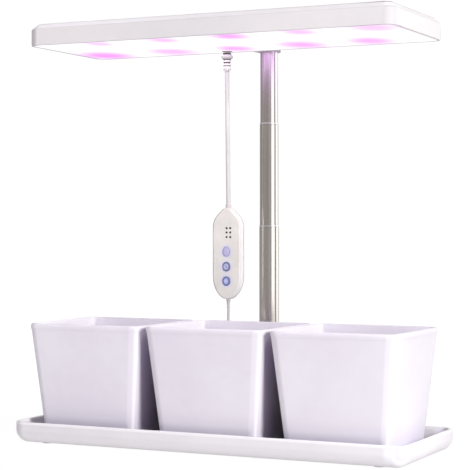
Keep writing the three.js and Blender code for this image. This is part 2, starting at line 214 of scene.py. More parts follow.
def spline(points, per=8):
    """Centripetal Catmull-Rom through the points, as many finer points."""
    p = [Vector(q) for q in points]
    p = [p[0] * 2 - p[1]] + p + [p[-1] * 2 - p[-2]]
    out = []
    for i in range(1, len(p) - 2):
        p0, p1, p2, p3 = p[i - 1], p[i], p[i + 1], p[i + 2]
        t0 = 0.0
        t1 = t0 + max((p1 - p0).length, 1e-9) ** 0.5
        t2 = t1 + max((p2 - p1).length, 1e-9) ** 0.5
        t3 = t2 + max((p3 - p2).length, 1e-9) ** 0.5
        for k in range(per):
            t = t1 + (t2 - t1) * k / per
            a1 = p0 * ((t1 - t) / (t1 - t0)) + p1 * ((t - t0) / (t1 - t0))
            a2 = p1 * ((t2 - t) / (t2 - t1)) + p2 * ((t - t1) / (t2 - t1))
            a3 = p2 * ((t3 - t) / (t3 - t2)) + p3 * ((t - t2) / (t3 - t2))
            b1 = a1 * ((t2 - t) / (t2 - t0)) + a2 * ((t - t0) / (t2 - t0))
            b2 = a2 * ((t3 - t) / (t3 - t1)) + a3 * ((t - t1) / (t3 - t1))
            out.append(b1 * ((t2 - t) / (t2 - t1)) + b2 * ((t - t1) / (t2 - t1)))
    out.append(p[-2].copy())
    return out


def length_of(points):
    return sum((Vector(a) - Vector(b)).length for a, b in zip(points, points[1:]))


def tube(points, radius, sides=20, swell=None):
    """A round tube along a fine path; swell(share of length) may change its radius."""
    pts = [Vector(p) for p in points]
    total = length_of(pts)
    verts, faces = [], []
    up = Vector((1.0, 0.0, 0.0))
    done = 0.0
    for i, p in enumerate(pts):
        t = (pts[min(i + 1, len(pts) - 1)] - pts[max(i - 1, 0)]).normalized()
        side = up - t * up.dot(t)
        if side.length < 1e-4:
            side = Vector((0, 1, 0)) - t * t.y
        side.normalize()
        up = side
        other = t.cross(side)
        if i:
            done += (p - pts[i - 1]).length
        r = radius * (swell(done / total) if swell else 1.0)
        for k in range(sides):
            a = 2 * PI * k / sides
            q = p + side * (r * math.cos(a)) + other * (r * math.sin(a))
            verts.append((q.x, q.y, q.z))
    for i in range(len(pts) - 1):
        for k in range(sides):
            a, b = i * sides + k, i * sides + (k + 1) % sides
            faces.append((a, b, b + sides, a + sides))
    faces.append(tuple(reversed(range(sides))))
    faces.append(tuple((len(pts) - 1) * sides + k for k in range(sides)))
    return verts, faces


# ============================================================ material helpers
class Mat:
    """A material whose colour, roughness and bump come from procedural nodes in object space."""

    def __init__(self, name):
        self.m = bpy.data.materials.new(name)
        self.m.use_nodes = True
        self.nt = self.m.node_tree
        self.nt.nodes.clear()
        self.out = self.nt.nodes.new("ShaderNodeOutputMaterial")
        self.b = self.nt.nodes.new("ShaderNodeBsdfPrincipled")
        self.nt.links.new(self.b.outputs[0], self.out.inputs[0])
        self.co = self.nt.nodes.new("ShaderNodeTexCoord").outputs["Object"]

    def put(self, socket, value):
        if isinstance(value, bpy.types.NodeSocket):
            self.nt.links.new(value, socket)
        elif isinstance(value, (tuple, list)) and len(value) == 3 and socket.type == "RGBA":
            socket.default_value = (*value, 1.0)
        else:
            socket.default_value = value

    def set(self, **kw):
        for k, v in kw.items():
            self.put(self.b.inputs[k.replace("_", " ")], v)
        return self

    def math(self, op, a, b=0.0, c=None, clamp=False):
        n = self.nt.nodes.new("ShaderNodeMath")
        n.operation = op
        n.use_clamp = clamp
        self.put(n.inputs[0], a)
        self.put(n.inputs[1], b)
        if c is not None:
            self.put(n.inputs[2], c)
        return n.outputs[0]

    def vmath(self, op, a, b=(0, 0, 0)):
        n = self.nt.nodes.new("ShaderNodeVectorMath")
        n.operation = op
        self.put(n.inputs[0], a)
        self.put(n.inputs[1], b)
        return n.outputs["Value" if op in ("LENGTH", "DISTANCE", "DOT_PRODUCT") else "Vector"]

    def mapping(self, scale=(1, 1, 1), loc=(0, 0, 0), rot=(0, 0, 0)):
        n = self.nt.nodes.new("ShaderNodeMapping")
        self.nt.links.new(self.co, n.inputs["Vector"])
        n.inputs["Scale"].default_value = scale
        n.inputs["Location"].default_value = loc
        n.inputs["Rotation"].default_value = rot
        return n.outputs[0]

    def noise(self, scale, detail=2.0, rough=0.5, vec=None, distort=0.0):
        n = self.nt.nodes.new("ShaderNodeTexNoise")
        self.nt.links.new(vec or self.co, n.inputs["Vector"])
        n.inputs["Scale"].default_value = scale
        n.inputs["Detail"].default_value = detail
        n.inputs["Roughness"].default_value = rough
        n.inputs["Distortion"].default_value = distort
        return n.outputs[0]

    def voronoi(self, scale, vec=None, feature="F1"):
        n = self.nt.nodes.new("ShaderNodeTexVoronoi")
        n.feature = feature
        self.nt.links.new(vec or self.co, n.inputs["Vector"])
        n.inputs["Scale"].default_value = scale
        return n.outputs[0]

    def remap(self, v, a, b, c, d, kind="LINEAR"):
        n = self.nt.nodes.new("ShaderNodeMapRange")
        n.interpolation_type = kind
        n.clamp = True
        self.put(n.inputs[0], v)
        for i, x in enumerate((a, b, c, d)):
            n.inputs[1 + i].default_value = x
        return n.outputs[0]

    def mix(self, f, a, b, blend="MIX"):
        n = self.nt.nodes.new("ShaderNodeMix")
        n.data_type = "RGBA"
        n.blend_type = blend
        self.put(n.inputs[0], f)
        self.put(n.inputs[6], a)
        self.put(n.inputs[7], b)
        return n.outputs[2]

    def xyz(self):
        n = self.nt.nodes.new("ShaderNodeSeparateXYZ")
        self.nt.links.new(self.co, n.inputs[0])
        return n.outputs

    def bump(self, height, strength, distance, onto=None):
        n = self.nt.nodes.new("ShaderNodeBump")
        n.inputs["Strength"].default_value = strength
        n.inputs["Distance"].default_value = distance
        self.put(n.inputs["Height"], height)
        if onto is not None:
            self.nt.links.new(onto, n.inputs["Normal"])
        return n.outputs[0]


def srgb(r, g, b):
    def f(c):
        c /= 255.0
        return c / 12.92 if c <= 0.04045 else ((c + 0.055) / 1.055) ** 2.4

    return (f(r), f(g), f(b))


def plastic(name, light, dark, rough, patch=14.0, grain=900.0, grain_height=0.05, wave=22.0, wave_height=0.10, coat=0.0, specular=0.3, mottle=0.5):
    """Moulded plastic: soft patches of colour, cloudy gloss, a fine moulded grain and faint sink waves."""
    m = Mat(name)
    big = m.noise(patch, 2.0, 0.45)
    fine = m.noise(patch * 9.0, 3.0, 0.6)
    f = m.math("MULTIPLY_ADD", fine, 0.22, m.math("MULTIPLY", big, 0.78))
    m.set(Base_Color=m.mix(m.remap(f, 0.5 - mottle * 0.5, 0.5 + mottle * 0.5, 0.0, 1.0, "SMOOTHSTEP"), dark, light))
    cloudy = m.noise(70.0, 4.0, 0.62)
    m.set(Roughness=m.remap(cloudy, 0.3, 0.7, rough[0], rough[1]))
    waves = m.bump(m.noise(wave, 1.0, 0.4), wave_height, 0.0006)
    m.set(Normal=m.bump(m.noise(grain, 3.0, 0.65), grain_height, 0.00025, waves))
    m.b.inputs["Specular IOR Level"].default_value = specular
    if coat:
        m.b.inputs["Coat Weight"].default_value = coat
        m.b.inputs["Coat Roughness"].default_value = 0.18
    return m


# ============================================================ materials
POT_LIGHT, POT_DARK = srgb(234, 230, 237), srgb(226, 221, 231)
pot_mat = plastic("pot plastic", POT_LIGHT, POT_DARK, (0.34, 0.46), patch=9.0, mottle=0.36)
pot_base = pot_mat.b.inputs["Base Color"].links[0].from_socket
pot_xyz = pot_mat.xyz()
pot_u = pot_mat.math("ABSOLUTE", pot_mat.math("WRAP", pot_xyz[0], 0.06655, -0.06655))
pot_v = pot_mat.math("ABSOLUTE", pot_mat.math("ADD", pot_xyz[1], 0.018))
pot_side = pot_mat.remap(pot_mat.math("MAXIMUM", pot_u, pot_v), 0.0606, 0.0618, 0.0, 1.0, "SMOOTHSTEP")
# painted highlight: the top of the pots' outer rim is lighter
pot_rim_painted_highlight = pot_mat.math("MULTIPLY", pot_side, pot_mat.remap(pot_xyz[2], 0.1192, 0.1202, 0.0, 0.3, "SMOOTHSTEP"))
# painted shade: the pots turn darker towards the bottom, outside and inside
pot_low_painted_shade = pot_mat.remap(pot_xyz[2], 0.016, 0.042, 0.42, 0.0, "SMOOTHSTEP")
pot_base = pot_mat.mix(pot_low_painted_shade, pot_base, srgb(206, 203, 216))
pot_way = pot_mat.nt.nodes.new("ShaderNodeNewGeometry").outputs["Normal"]
pot_right = pot_mat.vmath("DOT_PRODUCT", pot_way, (1.0, 0.0, 0.0))
# painted shade: a darker band at the foot, weak on faces turned to the right
pot_foot_painted_shade = pot_mat.math("MULTIPLY", pot_mat.remap(pot_xyz[2], 0.0175, 0.0290, 0.48, 0.0, "SMOOTHSTEP"), pot_mat.remap(pot_right, 0.2, 0.75, 1.0, 0.12, "SMOOTHSTEP"))
pot_base = pot_mat.mix(pot_foot_painted_shade, pot_base, srgb(150, 146, 164))
# painted shade: the rounded front-right corners, where faces turn about 40 degrees to the right, are darker
pot_corner_painted_shade = pot_mat.remap(pot_mat.vmath("DOT_PRODUCT", pot_way, (0.643, -0.766, 0.0)), 0.84, 0.98, 0.0, 0.5, "SMOOTHSTEP")
pot_base = pot_mat.mix(pot_corner_painted_shade, pot_base, srgb(212, 208, 216))
# painted light: inside the pots, the walls that face right are lighter
pot_depth = pot_mat.math("ADD", pot_mat.math("MAXIMUM", pot_u, pot_v), pot_mat.math("MULTIPLY", pot_mat.math("SUBTRACT", 0.1209, pot_xyz[2]), 0.103))
pot_inside_painted_light = pot_mat.math("MULTIPLY", pot_mat.remap(pot_depth, 0.0618, 0.0630, 1.0, 0.0), pot_mat.remap(pot_right, 0.4, 0.9, 0.0, 0.85, "SMOOTHSTEP"))
pot_base = pot_mat.mix(pot_inside_painted_light, pot_base, srgb(252, 250, 254))
pot_mat.set(Base_Color=pot_mat.mix(pot_rim_painted_highlight, pot_base, srgb(250, 248, 252)))
tray_mat = plastic("tray plastic", srgb(234, 231, 234), srgb(226, 223, 227), (0.30, 0.42), patch=8.0, mottle=0.4)
tray_base = tray_mat.b.inputs["Base Color"].links[0].from_socket
# painted light: the tray is lighter towards its bottom edge, less so at the front-right corners
tray_low_painted_light = tray_mat.remap(tray_mat.xyz()[2], 0.003, 0.013, 0.9, 0.0, "SMOOTHSTEP")
tray_xyz = tray_mat.xyz()
# painted light: the inside of the tray's right end is a lighter bluish white
tray_end_painted_light = tray_mat.math("MULTIPLY", tray_mat.remap(tray_xyz[0], 0.186, 0.193, 0.0, 1.0, "SMOOTHSTEP"), tray_mat.remap(tray_xyz[0], 0.2059, 0.2064, 1.0, 0.0))
tray_end_painted_light = tray_mat.math("MULTIPLY", tray_end_painted_light, tray_mat.remap(tray_xyz[2], 0.0188, 0.0194, 1.0, 0.0))
tray_base = tray_mat.mix(tray_end_painted_light, tray_base, srgb(249, 248, 255))
# painted highlight: the tray's rim top is lighter
tray_base = tray_mat.mix(tray_mat.remap(tray_xyz[2], 0.0190, 0.0200, 0.0, 0.55, "SMOOTHSTEP"), tray_base, srgb(253, 250, 254))
# painted shade: the tray's rounded front-right corners, where faces turn about 40 degrees to the right, are darker
tray_turn = tray_mat.vmath("DOT_PRODUCT", tray_mat.nt.nodes.new("ShaderNodeNewGeometry").outputs["Normal"], (0.643, -0.766, 0.0))
tray_base = tray_mat.mix(tray_mat.remap(tray_turn, 0.82, 0.97, 0.0, 0.9, "SMOOTHSTEP"), tray_base, srgb(216, 213, 216))
tray_low_painted_light = tray_mat.math("MULTIPLY", tray_low_painted_light, tray_mat.remap(tray_turn, 0.82, 0.97, 1.0, 0.35, "SMOOTHSTEP"))
tray_mat.set(Base_Color=tray_mat.mix(tray_low_painted_light, tray_base, tray_mat.mix(tray_mat.noise(12.0, 2.0, 0.5), srgb(243, 240, 243), srgb(250, 247, 250))))
head_mat = plastic("head plastic", srgb(226, 222, 223), srgb(218, 215, 216), (0.32, 0.44), patch=7.0, mottle=0.4)
head_base = head_mat.b.inputs["Base Color"].links[0].from_socket
# painted light: the head's top and its bevel are lighter, most of all towards the left end
head_top = head_mat.remap(head_mat.xyz()[2], 0.4172, 0.4184, 0.0, 1.0, "SMOOTHSTEP")
head_xyz = head_mat.xyz()
# painted shade: the four rounded upright corners of the head are darker
corner_u = head_mat.math("SUBTRACT", head_mat.math("ABSOLUTE", head_xyz[0]), 0.1830)
corner_v = head_mat.math("SUBTRACT", head_mat.math("ABSOLUTE", head_mat.math("ADD", head_xyz[1], 0.0117)), 0.0597)
corner = head_mat.math("MULTIPLY", head_mat.remap(corner_u, 0.0, 0.0035, 0.0, 1.0, "SMOOTHSTEP"), head_mat.remap(corner_v, 0.001, 0.006, 0.0, 1.0, "SMOOTHSTEP"))
head_base = head_mat.mix(corner, head_base, srgb(207, 204, 206))
# painted shade: a dark outline on faces turned to the right and back, and along the top edge near the right end
head_way = head_mat.vmath("DOT_PRODUCT", head_mat.nt.nodes.new("ShaderNodeNewGeometry").outputs["Normal"], (0.901, 0.434, 0.0))
head_outline_painted_shade = head_mat.math("MAXIMUM", head_mat.remap(head_way, 0.955, 0.995, 0.0, 1.0, "SMOOTHSTEP"), head_mat.math("MULTIPLY", head_mat.remap(head_mat.xyz()[2], 0.4225, 0.4227, 1.0, 0.0), head_mat.math("MULTIPLY", head_mat.remap(head_mat.xyz()[0], 0.150, 0.183, 0.2, 1.0), head_mat.remap(head_mat.xyz()[2], 0.4214, 0.4219, 0.0, 1.0, "SMOOTHSTEP"))))
head_bevel_painted_light = head_mat.mix(head_mat.noise(9.0, 2.0, 0.5), srgb(235, 232, 234), srgb(243, 240, 242))
head_bevel_painted_light = head_mat.mix(head_mat.remap(head_mat.xyz()[0], -0.16, 0.06, 0.9, 0.0, "SMOOTHSTEP"), head_bevel_painted_light, srgb(254, 252, 254))
head_base = head_mat.mix(head_top, head_base, head_bevel_painted_light)
head_mat.set(Base_Color=head_mat.mix(head_outline_painted_shade, head_base, srgb(178, 168, 175)))
# painted shade: the front cover is darker than the rear cover on its front face
ctrl_mat = plastic("controller front plastic", srgb(234, 232, 226), srgb(223, 220, 214), (0.38, 0.5), patch=60.0, grain=2200.0, mottle=0.45)
ctrl_back_mat = plastic("controller rear plastic", srgb(250, 249, 248), srgb(244, 242, 241), (0.30, 0.4), patch=60.0, grain=2200.0, mottle=0.45)
plug_mat = plastic("plug moulding", srgb(204, 198, 197), srgb(190, 184, 183), (0.42, 0.55), patch=120.0, grain=2600.0, mottle=0.5)
cable_mat = plastic("lamp cable sheath", srgb(210, 209, 206), srgb(198, 196, 193), (0.40, 0.52), patch=40.0, grain=2600.0, mottle=0.5)
supply_mat = plastic("supply cable sheath", srgb(196, 194, 191), srgb(180, 178, 175), (0.42, 0.55), patch=40.0, grain=2600.0, mottle=0.5)
nylon_mat = plastic("nylon", srgb(226, 225, 220), srgb(214, 213, 207), (0.5, 0.62), patch=90.0, grain=2000.0)
black_mat = plastic("black plastic", srgb(44, 44, 47), srgb(34, 34, 37), (0.42, 0.55), patch=120.0, grain=2600.0, grain_height=0.12)
window_mat = plastic("smoked window", srgb(34, 30, 32), srgb(20, 18, 20), (0.3, 0.42), patch=200.0, grain=3000.0, grain_height=0.02, specular=0.25)
rubber_mat = plastic("foot rubber", srgb(168, 167, 166), srgb(148, 147, 147), (0.75, 0.92), patch=160.0, grain=2400.0, grain_height=0.3, specular=0.3)
tie_mat = plastic("tie", srgb(74, 74, 78), srgb(56, 56, 60), (0.6, 0.75), patch=150.0, grain=2400.0, grain_height=0.3)


def steel(name, light, dark, rough, streak=(900.0, 900.0, 5.0), glow=None, drawn=False):
    """Drawn steel tube, polished lengthways: streaks run along Z in colour, gloss and bump. With glow, a painted violet
    reflection of the lamp tints it above a given height.
    """
    m = Mat(name)
    lines = m.noise(1.0, 3.0, 0.6, m.mapping(streak))
    broad = m.noise(1.0, 2.0, 0.5, m.mapping((160.0, 160.0, 9.0)))
    f = m.math("MULTIPLY_ADD", lines, 0.6, m.math("MULTIPLY", broad, 0.4))
    colour = m.mix(m.remap(f, 0.35, 0.65, 0.0, 1.0), dark, light)
    # painted reflection: above a given height the colour turns to the tint of the lamp's violet glow
    if glow:
        z = m.xyz()[2]
        low, high, lamp_reflection_tint = glow
        near = m.remap(z, low, high, 0.0, 1.0, "SMOOTHSTEP")
        colour = m.mix(near, colour, lamp_reflection_tint)
    m.set(Base_Color=colour)
    m.b.inputs["Metallic"].default_value = 1.0
    if drawn:
        m.b.inputs["Anisotropic"].default_value = 0.85
        m.b.inputs["Anisotropic Rotation"].default_value = 0.25
        t = m.nt.nodes.new("ShaderNodeTangent")
        t.direction_type = "RADIAL"
        t.axis = "Z"
        m.nt.links.new(t.outputs[0], m.b.inputs["Tangent"])
    m.set(Roughness=m.remap(m.math("MULTIPLY_ADD", m.noise(60.0, 4.0, 0.6), 0.5, m.math("MULTIPLY", lines, 0.5)), 0.3, 0.7, rough[0], rough[1]))
    m.set(Normal=m.bump(lines, 0.03, 0.00008))
    return m


steel_mat = steel("mast steel", srgb(218, 214, 209), srgb(198, 192, 187), (0.15, 0.21), drawn=True)
# the upper tube carries a painted violet reflection of the lamp near the head
steel_top_mat = steel("mast steel under the light", srgb(212, 206, 204), srgb(198, 191, 189), (0.15, 0.21), glow=(0.33, 0.40, srgb(232, 206, 236)), drawn=True)
ring_mat = steel("end ring chrome", srgb(246, 246, 248), srgb(236, 236, 239), (0.18, 0.28), streak=(300.0, 300.0, 300.0))
screw_mat = steel("screw steel", srgb(186, 186, 189), srgb(168, 168, 172), (0.25, 0.36), streak=(600.0, 600.0, 600.0))
nickel_mat = steel("plug nickel", srgb(222, 219, 210), srgb(206, 202, 192), (0.16, 0.26), streak=(80.0, 900.0, 900.0))
board_mat = plastic("light board mask", srgb(243, 243, 240), srgb(232, 232, 228), (0.35, 0.48), patch=50.0)


def assign(obj, mat):
    me = obj.data
    me.materials.clear()
    me.materials.append(mat.m)
    return obj


def piece(name, mesh, mat, body, replaces, sharp=32.0, weighted=True):
    obj = make(name, *mesh, sharp=sharp) if isinstance(mesh, tuple) else mesh
    obj.name = name
    outward(obj)
    smooth(obj, sharp)
    if weighted:
        flat_lit(obj)
    assign(obj, mat)
    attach(obj, body)
    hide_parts(*replaces)
    return obj


# ============================================================ cords
SUPPLY_R = 1.3
Z0 = SUPPLY_R + 0.15
JACK = (-36.5, 50.5)
BOX_X, BOX_Y = -37.0, 54.9


# lamp cable, from the plug's strain relief down to the hand controller
LAMP = spline([(-36.5, 50.5, 380.3), (-36.55, 51.4, 345), (-36.75, 53.0, 300), (-37.0, 54.4, 262), (-37.0, 54.9, 242.3)], 12)
lamp_cable = piece("lamp_cable_sheath", tube(LAMP, 2.35, 24), cable_mat, "head", ["lamp_cable"], weighted=False)

# supply cable: two hanging stretches below the hand controller, beside the telescopic mast
UPPER = spline([(BOX_X, BOX_Y, 132.5), (BOX_X - 0.35, BOX_Y + 0.5, 116), (BOX_X, BOX_Y + 3.3, 90), (BOX_X, BOX_Y + 6.0, 66.15)], 10)
LOWER = spline([(BOX_X, BOX_Y + 6.0, 66.15), (BOX_X, BOX_Y + 8.2, 44), (BOX_X, BOX_Y + 10.0, 24), (BOX_X, BOX_Y + 13.0, 11), (BOX_X, BOX_Y + 19.0, 3.4), (BOX_X - 0.3, BOX_Y + 27.15, Z0)], 10)


def hanging(name, points, node):
    obj = make(name, *tube(points, SUPPLY_R, 18))
    outward(obj)
    smooth(obj)
    assign(obj, supply_mat)
    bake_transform(obj)
    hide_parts(node)
    return obj


supply_upper = hanging("supply_cable_upper_sheath", UPPER, "supply_cable_upper")
supply_lower = hanging("supply_cable_lower_sheath", LOWER, "supply_cable_lower")


# the rest lies on the table: a run, a neat coil, and the tail with its plug
def coil_route():
    cx, cy = -98.0, 128.0
    start = math.radians(38.2)
    out = []

    def rise(x):  # climbs over its neighbour at the end of a layer
        return 2.6 * math.sqrt(max(0.0, 2 * x - x * x))

    step = 1.0 / 16.0
    u = 0.0
    while u <= 8.0001:
        if u <= 3.0:
            r, z = 19.5 - 2.6 * u, Z0
        elif u <= 4.0:
            r, z = 11.7, Z0 + rise(u - 3.0)
        elif u <= 7.0:
            r, z = 11.7 + 2.6 * (u - 4.0), Z0 + 2.6
        else:
            r, z = 19.5, Z0 + 2.6 + rise(u - 7.0)
        a = start + 2 * PI * u
        out.append((cx + r * math.cos(a), cy + r * math.sin(a), z))
        u += step
    for deg, r, z in ((52, 19.9, Z0 + 5.0), (66, 21.0, Z0 + 3.9), (80, 22.0, Z0 + 1.6)):
        a = math.radians(deg)
        out.append((cx + r * math.cos(a), cy + r * math.sin(a), z))
    return out


RUN = [(BOX_X - 0.3, BOX_Y + 27.3, Z0), (-38.6, 91, Z0), (-45.5, 100.2, Z0), (-56, 110, Z0), (-66.5, 120.3, Z0), (-76.1, 131.7, Z0)]
TAIL = [(-99, 150.4, Z0 + 0.35), (-106, 150.9, Z0 + 0.3), (-114, 150.5, Z0 + 1.6), (-121.4, 150, 4.4)]
FLOOR = RUN + coil_route() + TAIL
curve = bpy.data.curves.new("supply_cable_table_sheath", "CURVE")
curve.dimensions = "3D"
line = curve.splines.new("POLY")
fine = spline(FLOOR, 3)
line.points.add(len(fine) - 1)
for q, p in zip(line.points, fine):
    q.co = (p.x * MM, p.y * MM, p.z * MM, 1.0)
curve.bevel_depth = SUPPLY_R * MM
curve.bevel_resolution = 5
curve.use_fill_caps = True
line.use_smooth = True
supply_table = link(bpy.data.objects.new("supply_cable_table_sheath", curve))
curve.materials.append(supply_mat.m)
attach(supply_table, "base")
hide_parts("supply_cable_floor_run", "supply_cable_coil", "supply_cable_tail")


# ============================================================ tray with the mast socket
MAST_X, MAST_Y = 0.0, 76.5


def tray_ring(inset, z, n=10):
    return rrect(420 - 2 * inset, 148 - 2 * inset, max(15 - inset, 4), z, 0, -18, n)


def lug_ring(r, z, y0, n=28):
    out = [(MAST_X + r * math.cos(PI * i / n), MAST_Y + r * math.sin(PI * i / n), z) for i in range(n + 1)]
    return out + [(-r, y0, z), (r, y0, z)]


outer = [tray_ring(13.5, 1.0)] + [tray_ring(13 - r, 1 + z) for r, z in arc(0, 13, 13, 270, 360, 14)]
outer += [tray_ring(i, z) for i, z in arc(1.5, 20.5, 1.5, 180, 90, 6)]
outer += [tray_ring(i, z) for i, z in arc(2.8, 20.8, 1.2, 90, 8, 5)]
INNER = [(4.2, 19.4), (4.5, 15.0), (4.9, 10.4), (5.15, 8.6), (5.6, 7.2), (6.3, 6.1), (7.2, 5.2), (8.4, 4.55), (9.8, 4.15), (11.5, 4.0)]
tray = make("tray_moulding", *loft(outer + [tray_ring(i, z) for i, z in INNER]))
outward(tray)
lug = tool(*loft([lug_ring(r, z, 40) for r, z in [(14.2, 1.0), (14.7, 1.1), (15.1, 1.5), (15.4, 2.1), (15.5, 2.8), (15.5, 23.4), (15.35, 24.2), (14.9, 24.75), (14.3, 25.0)]]))
hollow = tool(*loft([tray_ring(i, z) for i, z in [(11.5, 3.9), (9.8, 4.05), (8.4, 4.45), (7.2, 5.1), (6.2, 6.0), (5.5, 7.1), (5.0, 8.6), (4.8, 10.4), (4.4, 15.0), (4.1, 19.4), (4.0, 20.8), (3.4, 21.9), (3.2, 30.0)]]))
combine(lug, "DIFFERENCE", hollow)
combine(tray, "UNION", lug)
combine(tray, "DIFFERENCE", tool(*lathe([[0, 5.0], [10.75, 5.0], [10.75, 24.3], [11.1, 24.7], [11.7, 25.2], [12.2, 27.0], [0, 27.0]], MAST_X, MAST_Y, 64)))
combine(tray, "DIFFERENCE", tool(*lathe([[0, -3], [5.0, -3], [5.0, 2.9], [2.4, 2.9], [2.4, 8.0], [0, 8.0]], MAST_X, MAST_Y, 36)))
for fx in (-178, 178):
    for fy in (-72, 36):
        combine(tray, "DIFFERENCE", tool(*lathe([[0, -3], [6.9, -3], [6.9, 0.95], [6.5, 1.25], [6.5, 2.4], [0, 2.4]], fx, fy, 40)))
piece("tray_moulding", tray, tray_mat, "base", ["tray"], sharp=38)

for nm, fx, fy in (("front_left", -178, -72), ("rear_left", -178, 36), ("front_right", 178, -72), ("rear_right", 178, 36)):
    prof = [[0, 0.35], [3.0, 0.35], [3.2, 0.05], [3.5, 0.0], [5.2, 0.0], [5.6, 0.12], [5.9, 0.45], [6.0, 0.8], [6.0, 2.0], [5.9, 2.1], [0, 2.1]]
    piece(f"foot_{nm}_pad", lathe(prof, fx, fy, 40), rubber_mat, "base", [f"foot_{nm}"])


# ============================================================ pots
def pot(cx, name):
    def fall(z):
        return 0.103 * (120.9 - z)

    def rr(inset, z, r):
        return rrect(128.3 - 2 * inset, 128.3 - 2 * inset, r, z, cx, -18, 14)

    def ro(z):
        return 11 - 0.16 * fall(z)

    rings = [rr(21.2, 6.0, 4), rr(20.0, 5.8, 4.2), rr(19.4, 5.0, 4.6), rr(18.8, 4.45, 5.0), rr(18.0, 4.3, 5.4), rr(14.4, 4.3, 7.4), rr(13.5, 4.42, 8.0), rr(12.8, 4.8, 8.4), rr(12.3, 5.4, 8.8), rr(12.0, 6.1, 9.0), rr(fall(7.2), 7.2, ro(7.2))]
    rings += [rr(fall(z), z, ro(z)) for z in (30, 60, 90, 109.0)]
    rings += [rr(fall(z) - d, z, ro(z)) for z, d in ((113.6, 0.02), (114.6, 0.10), (115.4, 0.24), (116.1, 0.34), (116.6, 0.34))]
    rings += [rr(0.04, 117.3, 11)]
    rings += [rr(i, z, 11 - i) for i, z in arc(2.3, 117.9, 2.3, 180, 90, 11, 3.0)]
    rings += [rr(i, z, 11 - i) for i, z in arc(2.9, 119.7, 1.2, 90, 12, 7)]
    rings += [rr(4.14, 118.6, 7.2), rr(4.2, 117.5, 7.2), rr(4.22, 116.0, 7.3), rr(4.16, 114.0, 7.4), rr(fall(111.5) + 3.08, 111.5, 7.4)]
    rings += [rr(fall(z) + 3.0, z, ro(z) - 2.7 - 0.021 * (114 - z)) for z in (108.0, 90, 60, 30, 14.5)]
    rings += [rr(fall(12.6) + 3.15, 12.6, 6.0), rr(fall(11.0) + 3.6, 11.0, 5.8), rr(fall(9.7) + 4.4, 9.7, 5.5), rr(fall(8.8) + 5.5, 8.8, 5.1), rr(fall(8.2) + 6.9, 8.2, 4.7), rr(fall(8.0) + 8.4, 8.0, 4.4)]
    obj = make(name, *loft(rings))
    outward(obj)
    for dx, dy in ((0, 0), (-26, -26), (26, -26), (-26, 26), (26, 26)):
        combine(obj, "DIFFERENCE", tool(*lathe([[0, 2], [3.2, 2], [3.2, 7.5], [3.6, 8.1], [3.6, 14], [0, 14]], cx + dx, -18 + dy, 28)))
    return obj


for nm, cx in (("left", -133.1), ("middle", 0.0), ("right", 133.1)):
    piece(f"{nm}_pot_moulding", pot(cx, f"{nm}_pot_moulding"), pot_mat, f"{nm}_pot", [f"pot_{nm}"], sharp=38)


# ============================================================ telescopic mast
def pipe(ri, ro, z0, z1, e=0.08):
    return [[ri, z0 + e], [ri + e, z0], [ro - e, z0], [ro, z0 + e], [ro, z1 - e], [ro - e, z1], [ri + e, z1], [ri, z1 - e], [ri, z0 + e]]


def end_ring(ri, ro, z0, z1):
    m = (z0 + z1) / 2
    return [[ri, z0 + 0.1], [ri + 0.1, z0], [ro - 0.3, z0], [ro - 0.08, z0 + 0.12], [ro, z0 + 0.4], [ro, m], [ro, z1 - 0.4], [ro - 0.08, z1 - 0.12], [ro - 0.3, z1], [ri + 0.1, z1], [ri, z1 - 0.1], [ri, z0 + 0.1]]


def on_mast(name, profile, mat, body, node, n=128, sharp=40):
    return piece(name, lathe(profile, MAST_X, MAST_Y, n), mat, body, [node], sharp=sharp)


on_mast("mast_lower_tube_wall", pipe(10.1, 10.4, 5.3, 218.0), steel_mat, "base", "mast_lower_tube")
on_mast("mast_lower_end_ring_trim", end_ring(10.2, 10.52, 218.3, 219.8), ring_mat, "base", "mast_lower_end_ring")
on_mast("mast_middle_tube_wall", pipe(9.55, 9.85, 121.8, 325.0), steel_mat, "mast_middle", "mast_middle_tube")
on_mast("mast_middle_end_ring_trim", end_ring(9.6, 9.97, 325.3, 326.8), ring_mat, "mast_middle", "mast_middle_end_ring")
on_mast("mast_middle_guide_bush_ring", pipe(6.6, 9.75, 113.5, 121.5, 0.5), nylon_mat, "mast_middle", "mast_middle_guide_bush", 72)
on_mast("mast_upper_tube_wall", pipe(8.95, 9.35, 214.8, 413.2), steel_top_mat, "head", "mast_upper_tube")
on_mast("mast_upper_guide_bush_ring", pipe(6.2, 9.2, 206.8, 214.5, 0.5), nylon_mat, "head", "mast_upper_guide_bush", 72)


def screw(name, profile, recess_z, up, body, node, mat):
    """A countersunk machine screw; the recess is a hexagon."""
    obj = make(name, *lathe(profile, MAST_X, MAST_Y, 48))
    outward(obj)
    z0, z1 = (recess_z - 1.6, recess_z + 1.0) if up else (recess_z - 1.0, recess_z + 1.6)
    combine(obj, "DIFFERENCE", tool(*loft([[(MAST_X + 1.5 * math.cos(PI / 3 * k), MAST_Y + 1.5 * math.sin(PI / 3 * k), z) for k in range(6)] for z in (z0, z1)])))
    return piece(name, obj, mat, body, [node], sharp=35)


screw("mast_socket_screw_turned", [[0, 1.1], [3.5, 1.1], [4.1, 1.4], [4.3, 1.8], [4.3, 2.6], [1.6, 2.6], [1.6, 15.4], [0.9, 16.0], [0, 16.0]], 1.1, False, "base", "mast_socket_screw", screw_mat)
screw("head_clamp_screw_turned", [[0, 404.6], [1.2, 404.6], [1.6, 405.0], [1.6, 416.3], [3.4, 416.3], [3.4, 417.0], [3.1, 417.5], [2.5, 417.7], [0, 417.7]], 417.7, True, "head", "head_clamp_screw", screw_mat)
for nm, body in (("mast_foot_plug", "base"), ("mast_top_plug", "head")):
    assign(NODES[nm], nylon_mat)


# ============================================================ light head
HB = 400.6


def head_ring(inset, z, n=12):
    return rrect(391 - 2 * inset, 144 - 2 * inset, max(12 - inset * 0.8, 3), z, 0, -11.7, n)


